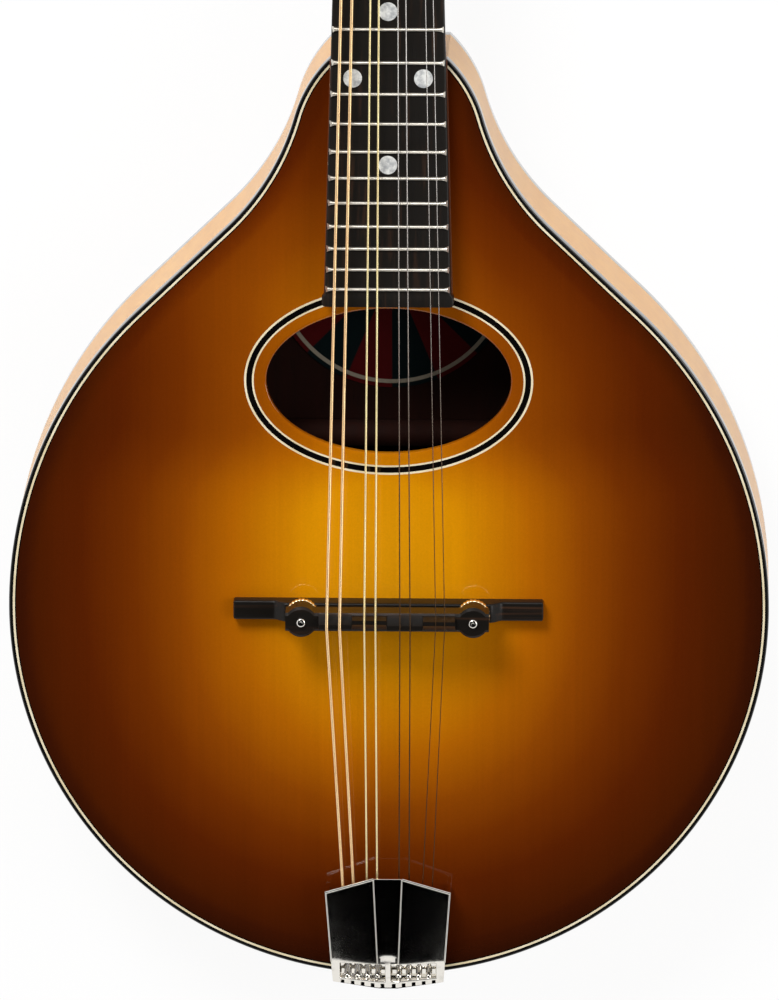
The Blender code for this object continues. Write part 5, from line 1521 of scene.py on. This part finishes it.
def end_pin_line():
    """Key points joined by short curves: each corner is cut by two nearer points."""
    keys = np.array([(0, 0.0048), (0.0045, 0.0048), (0.0068, 0.0040), (0.0068, 0.0026),
                     (0.0041, 0.0014), (0.0056, 0.0004), (0.0056, 0.0)])
    inner = keys[1:-1]
    before, after = keys[:-2], keys[2:]
    cut = [inner + (before - inner) * share for share in (0.35, 0.12)]
    cut += [inner + (after - inner) * share for share in (0.12, 0.35)]
    cut = np.stack(cut, 1).reshape(-1, 2)
    return np.concatenate([keys[:1], cut, keys[-1:], [(0.0030, 0), (0.0027, -0.018), (0, -0.018)]])


pin_place = Place((0, PIN_FACE_Y, DEPTH / 2), FACING_TAIL)
piece("end_pin_turned", pin_place.shape(turned(end_pin_line(), 56)), bridge_ebony,
      nodes=["end_pin"], sharp=50.0)

# %% [markdown]
# ## The strings
# Eight strings in four pairs run from their posts over the nut and the saddle to the pins. The
# thick pairs are wound, the thin ones plain steel. A round section is carried along straight
# runs with a small bend at the nut. Each string is cut at the saddle into two pieces, because
# both bend there when the saddle is raised: one between nut and saddle, one down to the tail.
# At the pin the wire is looped and twisted back on itself.

# %% String paths
def bent(points, radius=0.0012, steps=7):
    """Straight runs with each corner replaced by a curve: (1-t)^2 a + 2t(1-t) b + t^2 c."""
    points = np.asarray(points, float)
    share = np.linspace(0, 1, steps)[:, None]
    out = [points[:1]]
    for before, corner, after in zip(points, points[1:], points[2:]):
        start = corner + unit(before - corner) * radius
        end = corner + unit(after - corner) * radius
        out.append((1 - share) ** 2 * start + 2 * share * (1 - share) * corner + share**2 * end)
    return np.concatenate([*out, points[-1:]])


def filled_in(points, most=0.004):
    """Extra points along the long runs, so that a blend can curve them."""
    points = np.asarray(points, float)
    gaps = np.linalg.norm(np.diff(points, axis=0), axis=1)
    counts = np.maximum((gaps / most).astype(int), 1)
    runs = [start + (end - start) * np.linspace(0, 1, count, endpoint=False)[:, None]
            for start, end, count in zip(points, points[1:], counts)]
    return np.concatenate([*runs, points[-1:]])


LOOP_LENGTH, LOOP_Z = 0.0052, 0.0054


def string_ends(name):
    """Where a string leaves its post, crosses nut and saddle, and meets its loop."""
    wire = COURSES[name[0]][0]
    x, y = post_spot(name)
    inward = math.copysign(WAIST_AT_WRAP + wire / 2, x)
    at_post = head.point((x - inward, y, WRAP_Z))
    at_nut = neck.point((string_x(name, 0), NUT_Y + FIT, NUT_TOP + FIT + wire / 2))
    over = float(ridge_at(np.array([string_x(name, 1)]))[0])
    at_saddle = bridge.point((string_x(name, 1), over, SADDLE_TOP + FIT + wire / 2))
    at_pin = tail.point((PINS[name], PIN_Y + LOOP_LENGTH, LOOP_Z))
    return at_post, at_nut, at_saddle, at_pin


def loop_path(name):
    """A drop-shaped loop round the pin, from the twist and back to it."""
    wire = COURSES[name[0]][0]
    turn = np.linspace(-0.80 * math.pi, 0.80 * math.pi, 33)
    around = PIN_RADIUS + wire * 0.5 + 0.00005
    bow = np.stack([around * 1.15 * np.sin(turn), -around * np.cos(turn), 0 * turn], 1)
    tip = np.array([[0, LOOP_LENGTH, 0]])
    path = np.concatenate([tip, bow, tip])
    return tail.point(filled_in(path + [PINS[name], PIN_Y, LOOP_Z], 0.0006))


print("string g1 from", string_ends("g1")[0].round(4), "to", string_ends("g1")[3].round(4))

# %% Strings
for name in STRINGS:
    wire = COURSES[name[0]][0]
    at_post, at_nut, at_saddle, at_pin = string_ends(name)
    finish, slot = string_finish(name)
    tube = circle(wire / 2, 14)
    long_run = filled_in(bent([at_post, at_nut, at_saddle]))
    sounding = piece(f"string_{name}_sounding", carried(long_run, tube), finish, body=None,
                     nodes=[f"string_{name}"])
    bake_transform(sounding)
    tail_run = filled_in([at_saddle, at_pin])
    thick = min(wire * 1.7, wire + 0.0004)
    near = at_pin + unit(at_saddle - at_pin) * 0.0110
    twist = carried(filled_in([near, at_pin], 0.0005), circle(thick / 2, 14))
    loop = carried(loop_path(name), circle(wire * 0.42, 10))
    after = piece(f"string_{name}_tail", [carried(tail_run, tube), twist, loop],
                  [finish, loop_wire, loop_wire], body=None, nodes=[f"string_{name}"])
    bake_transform(after)

# %% [markdown]
# ## Floor and light
# The instrument lies on a white table: its tail rests on it, and so does the tip of the
# headstock, which hangs lower than the back, so the table's plane leans by two and a half
# degrees. To the camera and to mirrors the table is white paint with a strong glow, which
# leaves a faint shadow on clean white. A dark card hangs over the top, where its lacquer would
# otherwise mirror the white room back at the camera. Only mirrors see it. The main lamp stands
# beyond the headstock, so the bridge's shadow falls softly towards the tail.

# %% Table and card
TIP_Y, TIP_Z = 0.496, -0.02695


def stage_plane(name, middle, ahead, facing, width, length, finish):
    """A rectangle around a point: two half axes and the four corners they give."""
    half = unit(ahead) * length / 2
    side = unit(np.cross(ahead, facing)) * width / 2
    corners = [middle - side - half, middle + side - half, middle + side + half,
               middle - side + half]
    mesh = bpy.data.meshes.new(name)
    mesh.from_pydata(np.array(corners).tolist(), [], [(0, 1, 2, 3)])
    mesh.materials.append(finish)
    obj = bpy.data.objects.new(name, mesh)
    bpy.context.scene.collection.objects.link(obj)
    return obj


def table_white(glow_share=0.93):
    """Diffuse white, mixed towards a plain glow for camera, mirror and glass rays."""
    finish = Finish("table_white", Base_Color=(0.9, 0.9, 0.9, 1.0), Roughness=0.9)
    path = finish.add("LightPath")
    seen = path.beside("Is Camera Ray") + path.beside("Is Glossy Ray")
    seen = seen + path.beside("Is Transmission Ray")
    glow = finish.add("Emission", None, (1.0, 1.0, 1.0, 1.0), 1.0)
    both = finish.add("MixShader", None, (seen * glow_share).at_most(glow_share),
                      Signal(finish, finish.shader.outputs[0]), glow)
    finish.feed(finish.tree.nodes["Material Output"].inputs["Surface"], both)
    return finish.material


rest_line = np.array([0.0, TIP_Y - TAIL_Y, TIP_Z])
table_up = unit(np.cross([1.0, 0.0, 0.0], rest_line))
middle = np.array([0.0, TAIL_Y, 0.0]) + rest_line * 0.4
table = stage_plane("table", middle - table_up * 0.0003, rest_line, table_up, 6.0, 6.0,
                    table_white())
card_black = Finish("card_black", Base_Color=(0.0, 0.0, 0.0, 1.0), Roughness=1.0,
                    Specular_IOR_Level=0.0).material
card = stage_plane("card", np.array([-0.03, -0.08, 1.25]), np.array([0.0, 1.0, 0.0]),
                   np.array([0.0, 0.0, 1.0]), 1.60, 1.67, card_black)
card.visible_camera = card.visible_diffuse = card.visible_shadow = False
card.visible_transmission = card.visible_volume_scatter = False
print("table and card: ready")

# %% Room and lamps
def add_room(strength):
    """A white room for the camera and mirrors, and an even, weaker light for all else."""
    world = bpy.data.worlds.new("room")
    bpy.context.scene.world = world
    world.use_nodes = True
    room = Tree(world.node_tree)
    glow = room.tree.nodes["Background"]
    path = room.add("LightPath")
    seen = (path.beside("Is Camera Ray") + path.beside("Is Glossy Ray")).at_most(1.0)
    room.feed(glow.inputs["Color"], (1.0, 1.0, 1.0, 1.0))
    room.feed(glow.inputs["Strength"], strength + seen * (1.0 - strength))


def add_lamp(name, spot, aim, size, power):
    """A square soft box whose -Z axis points from its spot to its aim."""
    data = bpy.data.lights.new(name, "AREA")
    data.size, data.energy = size, power
    lamp = bpy.data.objects.new(name, data)
    away = unit(np.asarray(spot, float) - np.asarray(aim, float))
    side = unit(np.cross([0.0, 1.0, 0.2], away))
    matrix = np.eye(4)
    matrix[:3, :3] = np.stack([side, np.cross(away, side), away], 1)
    matrix[:3, 3] = spot
    lamp.matrix_world = Matrix(matrix.tolist())
    bpy.context.scene.collection.objects.link(lamp)


add_room(0.36)
add_lamp("key", (-0.65, 1.6, 1.5), (0, 0.05, 0), 0.8, 41.0)
add_lamp("fill", (1.5, 0.3, 1.6), (0, 0.05, 0), 1.2, 17.0)
bpy.context.scene.view_settings.view_transform = "Standard"
print("room and two lamps: ready")
